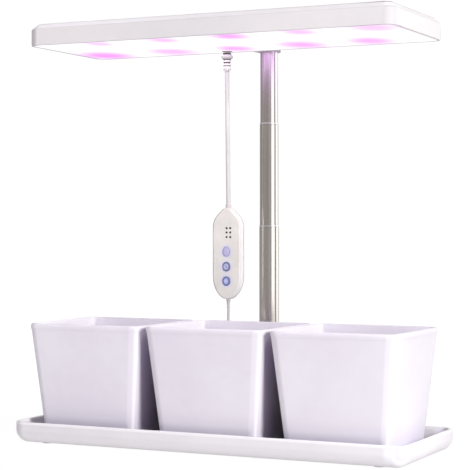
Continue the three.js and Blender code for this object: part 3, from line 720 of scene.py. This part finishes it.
shell = [head_ring(i, z) for i, z in arc(0.7, HB + 0.7, 0.7, 270, 180, 5)]
shell += [head_ring(0, 408), head_ring(0, 415.6), head_ring(0.06, 416.2), head_ring(0.28, 416.8), head_ring(0.62, 417.32), head_ring(1.05, 417.76)]
shell += [head_ring(3.4, 419.85), head_ring(5.6, 421.8), head_ring(6.1, 422.2), head_ring(6.7, 422.58), head_ring(7.5, 422.88), head_ring(8.4, 423.0)]
cover = make("head_cover_shell", *loft(shell))
outward(cover)
combine(cover, "UNION", tool(*loft([lug_ring(r, z, 50) for r, z in [(11.4, HB), (11.75, HB + 0.15), (12.0, HB + 0.7), (12.0, 415.9), (11.85, 416.8), (11.4, 417.5), (10.8, 417.9), (10.2, 418.0)]])))
combine(cover, "DIFFERENCE", tool(*loft([head_ring(2.0, HB - 3), head_ring(2.0, 414.8), head_ring(2.4, 415.8), head_ring(7.2, 420.3), head_ring(8.6, 420.9)])))
combine(cover, "DIFFERENCE", tool(*lathe([[0, HB - 5], [10.2, HB - 5], [10.2, HB + 0.05], [9.7, HB + 0.6], [9.7, 413.5], [0, 413.5]], MAST_X, MAST_Y, 64)))
combine(cover, "DIFFERENCE", tool(*lathe([[0, 405], [2.0, 405], [2.0, 416.0], [3.9, 416.0], [3.9, 417.6], [4.3, 418.1], [4.4, 424], [0, 424]], MAST_X, MAST_Y, 36)))
piece("head_cover_shell", cover, head_mat, "head", ["head_cover"], sharp=38)


def panel(inset, z, n=12):
    return rrect(391 - 2 * inset, 144 - 2 * inset, 9.6, z, 0, -11.7, n)


diff = make("head_diffuser_panel", *loft([panel(3.1, HB + 0.15), panel(2.75, HB + 0.2), panel(2.45, HB + 0.42), panel(2.35, HB + 0.75), panel(2.35, HB + 2.4)]))
outward(diff)
combine(diff, "DIFFERENCE", tool(*lathe([[0, HB - 5], [6.5, HB - 5], [6.5, HB + 0.1], [6.1, HB + 0.5], [6.1, HB + 8], [0, HB + 8]], JACK[0], JACK[1], 48)))

# lit panel: white, with a soft magenta bloom below each coloured chip
glow = Mat("frosted lit panel")
LEDS = [(x, 28.0) for x in (-168, -88, -16, 58, 131)] + [(x, -64.0) for x in (-122, -50, 22, 95, 169)]
total = None
POWER = [0.92, 0.68, 0.84, 0.78, 0.78] + [0.60, 0.62, 0.82, 0.66, 0.60]
REACH = [48, 44, 34, 43, 40] + [25, 28, 33, 29, 40]
for (lx, ly), peak, reach in zip(LEDS, POWER, REACH):
    away = glow.vmath("MULTIPLY", glow.vmath("SUBTRACT", glow.co, (lx * MM, ly * MM, 0.0)), (1.0, 0.78, 0.0))
    bloom = glow.remap(glow.vmath("LENGTH", away), 0.0, reach * MM, 1.0, 0.0, "SMOOTHERSTEP")
    bloom = glow.math("MULTIPLY", bloom, peak, clamp=True)
    total = bloom if total is None else glow.math("MAXIMUM", total, bloom)
uneven = glow.noise(26.0, 2.0, 0.5)
total = glow.math("MULTIPLY", total, glow.remap(uneven, 0.3, 0.7, 0.86, 1.0))
frost = glow.noise(420.0, 4.0, 0.6)
patchy = glow.remap(glow.noise(12.0, 2.0, 0.5), 0.35, 0.65, 0.0, 1.0)
plain = glow.mix(patchy, srgb(160, 157, 162), srgb(150, 146, 153))
glow.set(Base_Color=glow.mix(total, plain, srgb(140, 40, 150)))
glow.set(Roughness=glow.remap(frost, 0.3, 0.7, 0.5, 0.66))
glow.set(Normal=glow.bump(frost, 0.12, 0.0002))
gp = glow.xyz()
inner_x = glow.math("SUBTRACT", 0.1932, glow.math("ABSOLUTE", gp[0]))
inner_y = glow.math("SUBTRACT", 0.0697, glow.math("ABSOLUTE", glow.math("ADD", gp[1], 0.0117)))
border = glow.remap(glow.math("MINIMUM", inner_x, inner_y), 0.0005, 0.006, 0.62, 1.0, "SMOOTHSTEP")
lit = glow.mix(total, (1.0, 0.985, 1.0), (0.84, 0.20, 0.93))
glow.set(Emission_Color=glow.mix(border, (0.0, 0.0, 0.0), lit))
glow.b.inputs["Emission Strength"].default_value = 0.97
glow.b.inputs["Specular IOR Level"].default_value = 0.25
piece("head_diffuser_panel", diff, glow, "head", ["head_diffuser"], sharp=38)

chip = Mat("magenta chip")
chip.set(Base_Color=chip.mix(chip.noise(900.0, 2.0), srgb(250, 170, 252), srgb(240, 120, 246)), Emission_Color=(0.9, 0.3, 1.0))
chip.set(Roughness=chip.remap(chip.noise(1200.0, 2.0), 0.3, 0.7, 0.2, 0.35))
chip.set(Normal=chip.bump(chip.noise(1500.0, 2.0), 0.1, 0.0001))
chip.b.inputs["Emission Strength"].default_value = 2.0
for i in range(1, 6):
    assign(NODES[f"led_rear_{i}"], chip)
    assign(NODES[f"led_front_{i}"], chip)
assign(NODES["led_board"], board_mat)

jack = make("power_jack_collar", *lathe([[3.1, HB + 0.45], [3.35, HB + 0.2], [5.1, HB + 0.2], [5.5, HB + 0.3], [5.7, HB + 0.65], [5.7, HB + 4.0], [3.1, HB + 4.0], [3.1, HB + 0.45]], JACK[0], JACK[1], 48))
outward(jack)
body = tool(*box_mesh(JACK[0] - 5, JACK[1] - 5, HB + 3.8, JACK[0] + 5, JACK[1] + 5, HB + 14))
combine(body, "DIFFERENCE", tool(*lathe([[0, HB], [3.1, HB], [3.1, HB + 11.6], [0, HB + 11.6]], JACK[0], JACK[1], 48)))
combine(jack, "UNION", body)
piece("power_jack_body", jack, black_mat, "head", ["power_jack"], sharp=35)


# ============================================================ lamp plug
def fluted(profile, cx, cy, n=96, flutes=12, depth=None):
    verts, faces = lathe(profile, cx, cy, n)
    out = []
    for x, y, z in verts:
        dx, dy = x - cx, y - cy
        r = math.hypot(dx, dy)
        if r > 1e-6 and depth:
            a = math.atan2(dy, dx)
            k = 1.0 - depth(r, z) * (0.5 - 0.5 * math.cos(flutes * a)) ** 2
            dx, dy = dx * k, dy * k
        out.append((cx + dx, cy + dy, z))
    return out, faces


collar_mat = plastic("plug grip moulding", srgb(210, 209, 208), srgb(198, 197, 196), (0.42, 0.55), patch=120.0, grain=2600.0, mottle=0.5)
cz = collar_mat.xyz()[2]
# painted shade: dark bands at the grip's top and at its bottom
grip_top_painted_shade = collar_mat.remap(cz, 0.3972, 0.3978, 0.0, 1.0, "SMOOTHSTEP")
grip_low_painted_shade = collar_mat.remap(cz, 0.3926, 0.3932, 0.7, 0.0, "SMOOTHSTEP")
collar_base = collar_mat.b.inputs["Base Color"].links[0].from_socket
collar_mat.set(Base_Color=collar_mat.mix(collar_mat.math("MAXIMUM", grip_top_painted_shade, grip_low_painted_shade), collar_base, srgb(80, 76, 78)))
grip = [[0, 392.0], [3.9, 392.0], [4.15, 392.15], [4.25, 392.5], [4.35, 392.95], [5.0, 393.3], [5.7, 393.85], [6.1, 394.5], [6.2, 395.2], [6.15, 395.8], [5.8, 396.4], [5.2, 397.0], [4.6, 397.4], [4.3, 397.7], [4.25, 398.6], [4.25, 399.0], [4.1, 399.3], [0, 399.3]]
piece("lamp_plug_grip_moulding", fluted(grip, *JACK, depth=lambda r, z: 0.055 * max(0.0, 1 - abs(z - 395.6) / 3.0)), collar_mat, "head", ["lamp_plug_grip"], sharp=45)
barrel = [[1.25, 399.6], [2.6, 399.6], [2.75, 399.75], [2.75, 410.7], [2.6, 411.1], [2.3, 411.2], [1.25, 411.2], [1.25, 399.6]]
piece("lamp_plug_barrel_turned", lathe(barrel, *JACK, 40), nickel_mat, "head", ["lamp_plug_barrel"])
ribs = [[0, 380.6], [2.9, 380.6], [3.5, 380.7], [3.95, 380.9], [4.15, 381.15]]
for z, deep, h in ((382.2, 3.75, 0.5), (385.75, 3.65, 0.7), (389.0, 3.5, 0.8)):
    ribs += [[4.22, z - h - 0.4], [4.2, z - h - 0.2], [4.1, z - h - 0.07], [deep, z - h], [deep, z + h], [4.1, z + h + 0.07], [4.22, z + h + 0.2], [4.25, z + h + 0.4]]
ribs += [[4.25, 391.0], [4.1, 391.4], [3.7, 391.62], [0, 391.7]]
relief_mat = plastic("strain relief moulding", srgb(250, 248, 247), srgb(243, 241, 240), (0.42, 0.55), patch=120.0, grain=2600.0, mottle=0.5)
axis_gap = relief_mat.vmath("LENGTH", relief_mat.vmath("MULTIPLY", relief_mat.vmath("SUBTRACT", relief_mat.co, (JACK[0] * MM, JACK[1] * MM, 0)), (1, 1, 0)))
relief_z = relief_mat.xyz()[2]
# painted shade: the grooves between the ribs are dark, the lowest groove less so
groove_painted_shade = relief_mat.math("MULTIPLY", relief_mat.remap(axis_gap, 0.00385, 0.0041, 1.0, 0.0, "SMOOTHSTEP"), relief_mat.remap(relief_z, 0.383, 0.3895, 0.55, 1.0))
groove_painted_shade = relief_mat.math("MULTIPLY", groove_painted_shade, relief_mat.math("MULTIPLY", relief_mat.remap(relief_z, 0.3814, 0.3817, 0.0, 1.0), relief_mat.remap(relief_z, 0.3907, 0.3909, 1.0, 0.65)))
relief_unshaded = relief_mat.b.inputs["Base Color"].links[0].from_socket
relief_mat.set(Base_Color=relief_mat.mix(groove_painted_shade, relief_unshaded, srgb(98, 92, 95)))
relief = piece("lamp_plug_strain_relief_ribs", lathe(ribs, *JACK, 48), relief_mat, "head", ["lamp_plug_strain_relief"], sharp=35)

# ============================================================ hand controller
HALF = [(2.9, 237.9), (4.6, 236.6), (7.6, 233.7), (10.4, 230.9), (12.6, 228.3), (14.3, 225.6), (15.4, 222.6), (15.95, 219.0), (16.0, 214.0), (16.0, 190.0), (16.0, 166.0), (15.6, 161.4), (14.7, 157.6), (13.0, 153.4), (10.7, 149.5), (7.6, 146.0), (4.4, 143.7), (1.8, 142.8)]
CZ, HZ = (237.9 + 142.8) / 2, (237.9 - 142.8) / 2
HALF_FINE = [(p.x, p.y) for p in spline([(x, z, 0.0) for x, z in HALF], 4)]


def outline(inset, y):
    sx, sz = (16 - inset) / 16, (HZ - inset) / HZ
    right = [(x * sx, CZ + (z - CZ) * sz) for x, z in HALF_FINE]
    left = [(-x, z) for x, z in reversed(right)]
    return [(BOX_X + x, y, z) for x, z in right + left]


Y0, Y1, YM = BOX_Y - 5.5, BOX_Y + 5.5, BOX_Y
EDGE = [(1.5, 0.0), (1.21, 0.03), (0.94, 0.11), (0.69, 0.25), (0.47, 0.44), (0.28, 0.68), (0.14, 0.94), (0.04, 1.22), (0.0, 1.55)]


def half_shell(name, front):
    if front:
        rings = [outline(i, Y0 + d) for i, d in EDGE] + [outline(0.0, YM - 0.45), outline(0.12, YM - 0.2), outline(0.3, YM - 0.15)]
    else:
        rings = [outline(0.3, YM + 0.15), outline(0.12, YM + 0.2), outline(0.0, YM + 0.45)] + [outline(i, Y1 - d) for i, d in reversed(EDGE)]
    obj = make(name, *loft(rings))
    outward(obj)
    combine(obj, "DIFFERENCE", tool(*loft([outline(1.7, Y0 + 1.7), outline(1.7, Y1 - 1.7)])))
    combine(obj, "DIFFERENCE", tool(*lathe([[0, 228], [3.3, 228], [3.3, 245], [0, 245]], BOX_X, BOX_Y, 40)))
    combine(obj, "DIFFERENCE", tool(*lathe([[0, 130], [2.6, 130], [2.6, 152], [0, 152]], BOX_X, BOX_Y, 32)))
    return obj


BUTTONS = [("power", 192.3), ("timer", 176.7), ("dimmer", 161.6)]


def oval(profile, z, sx, sz=1.0, n=56):
    verts, faces = lathe(profile, BOX_X, 0.0, n, "Y", z)
    return [(BOX_X + (x - BOX_X) * sx, y, z + (h - z) * sz) for x, y, h in verts], faces


front = half_shell("controller_front_cover", True)
for nm, z in BUTTONS:
    combine(front, "DIFFERENCE", tool(*oval([[0, Y0 - 1], [5.2, Y0 - 1], [5.2, Y0 + 0.02], [5.05, Y0 + 0.12], [4.98, Y0 + 0.35], [4.98, Y0 + 4], [0, Y0 + 4]], z, 0.87 if nm == "power" else 0.925, 1.05 if nm == "power" else 1.0)))
for dx in (0.5, 4.7):
    for z in (216.9, 212.4, 207.6):
        combine(front, "DIFFERENCE", tool(*lathe([[0, Y0 - 1], [1.14, Y0 - 1], [1.14, Y0 + 4], [0, Y0 + 4]], BOX_X + dx, 0.0, 20, "Y", z)))

# the buttons' light spills a little onto the cover around them
spill = None
for _, z in BUTTONS:
    d = ctrl_mat.vmath("DISTANCE", ctrl_mat.co, (BOX_X * MM, Y0 * MM, z * MM))
    ringed = ctrl_mat.remap(d, 0.0046, 0.0082, 1.0, 0.0, "SMOOTHSTEP")
    spill = ringed if spill is None else ctrl_mat.math("MAXIMUM", spill, ringed)
base = ctrl_mat.b.inputs["Base Color"].links[0].from_socket
base = ctrl_mat.mix(ctrl_mat.math("MULTIPLY", spill, 0.75), base, srgb(214, 216, 248))

# painted shade: the walls inside the six indicator windows are nearly black
flat_co = ctrl_mat.vmath("MULTIPLY", ctrl_mat.co, (1, 0, 1))
window_wall_painted_shade = None
for dx in (0.5, 4.7):
    for z in (216.9, 212.4, 207.6):
        near = ctrl_mat.remap(ctrl_mat.vmath("DISTANCE", flat_co, ((BOX_X + dx) * MM, 0, z * MM)), 0.00124, 0.00138, 1.0, 0.0)
        window_wall_painted_shade = near if window_wall_painted_shade is None else ctrl_mat.math("MAXIMUM", window_wall_painted_shade, near)
inside_wall = ctrl_mat.remap(ctrl_mat.xyz()[1], (Y0 + 0.03) * MM, (Y0 + 0.12) * MM, 0.0, 1.0)
base = ctrl_mat.mix(ctrl_mat.math("MULTIPLY", window_wall_painted_shade, inside_wall), base, srgb(10, 8, 9))
# painted light: the front cover's sides behind its face are as light as the rear cover
front_edge = ctrl_mat.remap(ctrl_mat.xyz()[1], (Y0 + 1.7) * MM, (Y0 + 2.5) * MM, 0.0, 1.0, "SMOOTHSTEP")
ctrl_base = ctrl_mat.mix(front_edge, base, srgb(250, 249, 248))
# painted shade: a dark outline on the sides that turn to the left and the front
face_way = ctrl_mat.vmath("DOT_PRODUCT", ctrl_mat.nt.nodes.new("ShaderNodeNewGeometry").outputs["Normal"], (-0.90, -0.43, 0.0))
ctrl_mat.set(Base_Color=ctrl_mat.mix(ctrl_mat.remap(face_way, 0.45, 0.85, 0.0, 0.85, "SMOOTHSTEP"), ctrl_base, srgb(104, 100, 100)))
back_base = ctrl_back_mat.b.inputs["Base Color"].links[0].from_socket
back_y = ctrl_back_mat.xyz()[1]
# painted shade: a grey band round the rear cover's edge, faint on its rear face
back_edge_painted_shade = ctrl_back_mat.math("MULTIPLY", ctrl_back_mat.remap(back_y, (Y1 - 2.9) * MM, (Y1 - 2.0) * MM, 0.0, 1.0, "SMOOTHSTEP"), ctrl_back_mat.remap(back_y, (Y1 - 0.5) * MM, (Y1 - 0.1) * MM, 1.0, 0.1, "SMOOTHSTEP"))
ctrl_back_mat.set(Base_Color=ctrl_back_mat.mix(back_edge_painted_shade, back_base, srgb(158, 153, 153)))
piece("controller_front_cover", front, ctrl_mat, "head", ["controller_front_shell"], sharp=35)
piece("controller_rear_cover", half_shell("controller_rear_cover", False), ctrl_back_mat, "head", ["controller_rear_shell"], sharp=35)


def button_mat(name, face, rim, mark, z, kind):
    """A lit push button: a darker rim, and a plain sign printed on the two lower ones."""
    m = Mat(name)
    p = m.xyz()
    dx = m.math("SUBTRACT", p[0], BOX_X * MM)
    dz = m.math("SUBTRACT", p[2], z * MM)
    wide_x = m.math("DIVIDE", dx, 0.83 if nm == "power" else 0.9)
    r = m.math("SQRT", m.math("ADD", m.math("MULTIPLY", wide_x, wide_x), m.math("MULTIPLY", dz, dz)))
    soft = m.noise(700.0, 3.0, 0.6)
    col = m.mix(m.remap(soft, 0.35, 0.65, 0.0, 1.0), face, tuple(c * 0.93 for c in face))
    if kind:
        ring = m.math("MULTIPLY", m.remap(r, 0.0029, 0.0035, 0.0, 1.0, "SMOOTHSTEP"), m.remap(r, 0.0044, 0.0048, 1.0, 0.6, "SMOOTHSTEP"))
        col = m.mix(ring, col, rim)

        def bar(angle, long, short, wide):
            ca, sa = math.cos(angle), math.sin(angle)
            along = m.math("ADD", m.math("MULTIPLY", dx, ca), m.math("MULTIPLY", dz, sa))
            across = m.math("ABSOLUTE", m.math("SUBTRACT", m.math("MULTIPLY", dz, ca), m.math("MULTIPLY", dx, sa)))
            on = m.math("MULTIPLY", m.remap(along, -short - 0.0002, -short, 0.0, 1.0), m.remap(along, long, long + 0.0002, 1.0, 0.0))
            return m.math("MULTIPLY", on, m.remap(across, wide, wide + 0.00018, 1.0, 0.0))

        if kind == "clock":
            sign = m.math("MAXIMUM", bar(math.radians(128), 0.0021, 0.0002, 0.00028), bar(math.radians(-42), 0.0017, 0.0002, 0.00030))
        else:
            half = m.math("MULTIPLY", m.remap(r, 0.0017, 0.0020, 1.0, 0.0), m.remap(dx, -0.0001, 0.0001, 1.0, 0.35))
            sign = half
        col = m.mix(m.math("MULTIPLY", sign, 0.8), col, mark)
    else:
        col = m.mix(m.remap(r, 0.0036, 0.0046, 0.0, 0.6, "SMOOTHSTEP"), col, rim)
    m.set(Base_Color=col, Emission_Color=col)
    m.b.inputs["Emission Strength"].default_value = 0.17
    m.set(Roughness=m.remap(m.noise(500.0, 3.0), 0.3, 0.7, 0.28, 0.4))
    m.set(Normal=m.bump(m.noise(2400.0, 2.0), 0.05, 0.0002))
    return m


BUTTON_MATS = {
    "power": button_mat("power button", srgb(182, 177, 210), srgb(160, 154, 196), srgb(120, 120, 160), 192.3, None),
    "timer": button_mat("timer button", srgb(178, 182, 212), srgb(104, 107, 138), srgb(104, 108, 152), 176.7, "clock"),
    "dimmer": button_mat("dimmer button", srgb(162, 171, 212), srgb(98, 105, 150), srgb(196, 206, 236), 161.6, "half"),
}
for nm, z in BUTTONS:
    prof = [[0, Y0 - 0.55], [1.4, Y0 - 0.545], [2.6, Y0 - 0.53], [3.5, Y0 - 0.48], [4.0, Y0 - 0.38], [4.35, Y0 - 0.2], [4.58, Y0 + 0.02], [4.7, Y0 + 0.35], [4.7, Y0 + 2.1], [5.7, Y0 + 2.1], [5.7, Y0 + 2.9], [0, Y0 + 2.9]]
    piece(f"{nm}_button_cap", oval(prof, z, 0.83 if nm == "power" else 0.9, 1.07 if nm == "power" else 1.02), BUTTON_MATS[nm], f"{nm}_button", [f"button_{nm}"], sharp=40)

pcb_mat = plastic("circuit board", srgb(56, 122, 78), srgb(40, 100, 62), (0.3, 0.45), patch=160.0, grain=2600.0)
assign(NODES["controller_board"], pcb_mat)
assign(NODES["controller_indicator_guide"], window_mat)
top_bush = [[0, 230.0], [3.0, 230.0], [3.0, 238.6], [2.98, 240.2], [2.88, 241.0], [2.7, 241.6], [2.5, 242.0], [0, 242.0]]
top_bushing = piece("controller_top_bushing_sleeve", lathe(top_bush, BOX_X, BOX_Y, 40), plug_mat, "head", ["controller_top_bushing"])
foot_bush = [[0, 132.8], [1.4, 132.8], [1.5, 133.0], [1.52, 133.5], [1.6, 137.4], [1.8, 139.6], [2.2, 141.4], [2.45, 142.4], [2.45, 150.0], [0, 150.0]]
foot_bushing = piece("controller_bottom_bushing_sleeve", lathe(foot_bush, BOX_X, BOX_Y, 36), plug_mat, "head", ["controller_bottom_bushing"])


# ============================================================ USB plug on the table
def slab_rings(x0, x1, w, h, r, z, steps):
    out = []
    for x, s in steps:
        ww, hh = w - 2 * s, h - 2 * s
        out.append([(x, 150 + b, z - a) for a, b, _ in rrect(hh, ww, max(0.5, r - s), 0, 0, 0, 6)])
    return out


steps = [(-147.0, 0.75), (-146.85, 0.4), (-146.6, 0.18), (-146.2, 0.04), (-145.8, 0.0)]
x = -144.4
while x < -128.5:  # shallow finger grooves
    steps += [(x, 0.0), (x + 0.3, 0.28), (x + 0.9, 0.28), (x + 1.2, 0.0)]
    x += 2.4
steps += [(-126.0, 0.0), (-124.0, 0.5), (-122.8, 1.1), (-122.2, 1.7), (-121.8, 2.3)]
grip_obj = piece("usb_plug_grip_moulding", loft(slab_rings(-147, -121.8, 15.4, 7.8, 2.4, 4.4, steps)), plug_mat, "base", ["usb_plug_grip"], sharp=45)
shell_obj = make("usb_plug_metal_shell", *loft([[(x, 150 + b, 4.4 - a) for a, b, _ in rrect(4.5 - 2 * s, 12.0 - 2 * s, 0.6, 0, 0, 0, 4)] for x, s in ((-165.3, 0.12), (-165.1, 0.0), (-147.3, 0.0))]))
outward(shell_obj)
combine(shell_obj, "DIFFERENCE", tool(*box_mesh(-170, 144.4, 2.55, -149.0, 155.6, 6.25)))
for yy in (147.1, 152.9):
    combine(shell_obj, "DIFFERENCE", tool(*box_mesh(-157.6, yy - 1.15, 5.8, -155.2, yy + 1.15, 8.0)))
piece("usb_plug_metal_shell", shell_obj, nickel_mat, "base", ["usb_plug_shell"], sharp=30)
tongue = make("usb_plug_tongue", *box_mesh(-164.6, 144.6, 2.6, -149.1, 155.4, 4.3))
piece("usb_plug_tongue", bevel_edges(tongue, 0.15, 2), black_mat, "base", [])

# tie round the coil, at its left side
TIE_A = math.radians(200.0)


def tie():
    c = Vector((-98.0 + 15.6 * math.cos(TIE_A), 128.0 + 15.6 * math.sin(TIE_A), 0))
    out_dir = Vector((math.cos(TIE_A), math.sin(TIE_A), 0))
    along = Vector((-math.sin(TIE_A), math.cos(TIE_A), 0))
    rings = []
    n = 40
    for i in range(n):
        a = 2 * PI * i / n
        u = math.copysign(abs(math.cos(a)) ** 0.45, math.cos(a)) * 5.75
        v = math.copysign(abs(math.sin(a)) ** 0.45, math.sin(a)) * 3.85 + 3.95
        k = Vector((math.cos(a), math.sin(a)))
        ring = []
        for du, w in ((0.0, -1.9), (0.45, -1.9), (0.45, 1.9), (0.0, 1.9)):
            q = c + out_dir * (u - k.x * du) + Vector((0, 0, v - k.y * du * 0.6)) + along * w
            ring.append((q.x, q.y, max(q.z, 0.02)))
        rings.append(ring)
    return loft(rings, closed=True)


tie_obj = make("coil_tie", *tie())
piece("coil_tie", tie_obj, tie_mat, "base", [], sharp=50)


# ============================================================ floor, backdrop and light
def only(obj, camera=False, diffuse=False, glossy=False):
    obj.visible_camera = camera
    obj.visible_diffuse = diffuse
    obj.visible_glossy = glossy
    obj.visible_transmission = camera
    obj.visible_volume_scatter = False
    obj.visible_shadow = False
    return obj


def glow_mat(name, colour, strength, diffuse=0.0):
    m = bpy.data.materials.new(name)
    m.use_nodes = True
    b = m.node_tree.nodes["Principled BSDF"]
    b.inputs["Base Color"].default_value = (diffuse, diffuse, diffuse, 1)
    b.inputs["Roughness"].default_value = 0.9
    b.inputs["Specular IOR Level"].default_value = 0.0
    b.inputs["Emission Color"].default_value = (*colour, 1)
    b.inputs["Emission Strength"].default_value = strength
    return m


def stage_mesh(name, verts, faces, mat):
    me = bpy.data.meshes.new(name)
    me.from_pydata(verts, [], faces)
    me.update()
    obj = link(bpy.data.objects.new(name, me))
    me.materials.append(mat)
    return obj


def disc(name, radius, z, mat, n=48):
    return stage_mesh(name, [(radius * math.cos(2 * PI * i / n), radius * math.sin(2 * PI * i / n), z) for i in range(n)], [tuple(range(n))], mat)


def curved_card(name, az0, az1, radius, z0, z1, colour, strength):
    """An upright strip of a cylinder round the lamp; azimuth 0 is the front and 90 the right."""
    n = 12
    verts, faces = [], []
    for i in range(n + 1):
        a = math.radians(az0 + (az1 - az0) * i / n)
        x, y = radius * math.sin(a), MAST_Y * MM - radius * math.cos(a)
        verts += [(x, y, z0), (x, y, z1)]
    for i in range(n):
        faces.append((2 * i, 2 * i + 1, 2 * i + 3, 2 * i + 2))
    return only(stage_mesh(name, verts, faces, glow_mat(name, colour, strength)), glossy=True)


FLOOR_Z = -0.0004
# painted shade: the floor glows a little less near the lamp, fading out by 0.75 m
floor_mat = glow_mat("floor white", (1, 1, 1), 1.0, 0.10)
fn = floor_mat.node_tree
where = fn.nodes.new("ShaderNodeTexCoord").outputs["Object"]
far = fn.nodes.new("ShaderNodeVectorMath")
far.operation = "LENGTH"
fn.links.new(where, far.inputs[0])
fade = fn.nodes.new("ShaderNodeMapRange")
fade.interpolation_type = "SMOOTHSTEP"
fn.links.new(far.outputs["Value"], fade.inputs[0])
for i, v in enumerate((0.30, 0.75, 0.94, 1.02)):
    fade.inputs[1 + i].default_value = v
fn.links.new(fade.outputs[0], fn.nodes["Principled BSDF"].inputs["Emission Strength"])
only(disc("floor", 14.0, FLOOR_Z, floor_mat), camera=True)
only(disc("floor_bounce", 14.0, FLOOR_Z - 0.0004, glow_mat("floor bounce", (1, 0.985, 1.0), 0.50, 0.22)), diffuse=True)
only(disc("floor_reflected", 14.0, FLOOR_Z - 0.0008, glow_mat("floor reflected", (1, 0.97, 0.94), 0.46, 0.0)), glossy=True)


def dome(name, radius, colour, strength):
    r = radius * 1000
    obj = stage_mesh(name, *[list(q) for q in lathe([[0, -r]] + [[r * math.cos(math.radians(a)), r * math.sin(math.radians(a))] for a in range(-75, 76, 15)] + [[0, r]], 0, 0, 48)], glow_mat(name, colour, strength))
    obj.data.transform(Matrix.Scale(MM, 4))
    return obj


only(dome("backdrop", 13.0, (1, 1, 1), 1.03), camera=True)
only(dome("reflected_room", 8.0, (1.0, 0.955, 0.93), 0.40), glossy=True)

world = bpy.data.worlds.new("studio")
scene.world = world
world.use_nodes = True
world.node_tree.nodes["Background"].inputs[0].default_value = (0.90, 0.84, 1.0, 1)
world.node_tree.nodes["Background"].inputs[1].default_value = 0.12

# black flags stand in the gaps between the pots and keep the light down there
# Their front part also glows faintly violet and lights the gaps a little.
flag = glow_mat("black flag", (0.80, 0.62, 1.0), 0.0, 0.012)
fl = flag.node_tree
flag_y = fl.nodes.new("ShaderNodeSeparateXYZ")
fl.links.new(fl.nodes.new("ShaderNodeTexCoord").outputs["Object"], flag_y.inputs[0])
flag_fade = fl.nodes.new("ShaderNodeMapRange")
fl.links.new(flag_y.outputs["Y"], flag_fade.inputs[0])
for i, v in enumerate((-0.070, -0.030, 0.21, 0.0)):
    flag_fade.inputs[1 + i].default_value = v
fl.links.new(flag_fade.outputs[0], fl.nodes["Principled BSDF"].inputs["Emission Strength"])
for side in (-1, 1):
    x = side * 0.06655
    flag_obj = stage_mesh("flag_left" if side < 0 else "flag_right", [(x, -0.060, 0.006), (x, 0.040, 0.006), (x, 0.040, 0.108), (x, -0.074, 0.108)], [(0, 1, 2, 3)], flag)
    only(flag_obj, diffuse=True)
    flag_obj.visible_shadow = True

# tall cards that show only as reflections
curved_card("card_front", 21.5, 41, 1.10, 0.0, 1.4, (1, 0.98, 0.97), 0.55)
curved_card("card_right_front", 51, 90.6, 1.10, 0.0, 1.4, (1, 1, 1), 1.9)
curved_card("card_right_rear", 110.7, 149.3, 1.15, 0.0, 1.4, (1, 1, 1), 1.8)
curved_card("card_rear", 149.3, 215, 1.15, 0.0, 1.4, (1, 1, 1), 0.9)


def area(name, azimuth, elevation, distance, aim, size, power, colour=(1, 1, 1), glossy=True):
    """A softbox; azimuth 0 is straight in front and 90 to the right."""
    a, e = math.radians(azimuth), math.radians(elevation)
    loc = Vector(aim) + distance * Vector((math.sin(a) * math.cos(e), -math.cos(a) * math.cos(e), math.sin(e)))
    d = bpy.data.lights.new(name, "AREA")
    d.shape = "RECTANGLE"
    d.size, d.size_y = size
    d.energy = power
    d.color = colour
    o = link(bpy.data.objects.new(name, d))
    o.location = loc
    o.rotation_euler = (Vector(aim) - loc).to_track_quat("-Z", "Y").to_euler()
    o.visible_glossy = glossy
    o.visible_camera = False
    return o


area("key softbox", 65, 12, 1.9, (0, 0, 0.2), (0.45, 0.45), 30.5, (1.0, 0.99, 0.99), glossy=False)
area("fill softbox", -16, 9, 1.7, (-0.02, 0, 0.18), (0.5, 0.4), 8.2, (1.0, 0.985, 1.0), glossy=False)
area("top softbox", 5, 74, 1.6, (0, -0.05, 0.2), (0.9, 0.6), 7.6, (1.0, 0.985, 1.0), glossy=False)
area("back softbox", 200, 18, 1.9, (0, 0, 0.2), (0.8, 0.5), 11.0, (1.0, 0.985, 0.99), glossy=False)
spot = area("tray end light", 70, 52, 1.2, (0.197, -0.045, 0.006), (0.05, 0.05), 0.012, (0.90, 0.90, 1.0), glossy=False)
spot.data.spread = math.radians(8.0)

# the lamp's own light on the pots below it
lamp = bpy.data.lights.new("lamp light", "AREA")
lamp.shape = "RECTANGLE"
lamp.size, lamp.size_y = 0.36, 0.12
lamp.energy = 0.10
lamp.color = (1.0, 0.86, 1.0)
lamp_obj = link(bpy.data.objects.new("lamp light", lamp))
lamp_obj.location = (0.0, -0.0117, 0.399)
lamp_obj.visible_camera = False
lamp_obj.visible_glossy = False

scene.view_settings.view_transform = "Standard"
scene.view_settings.look = "None"
scene.view_settings.exposure = 0.0
scene.view_settings.gamma = 1.0
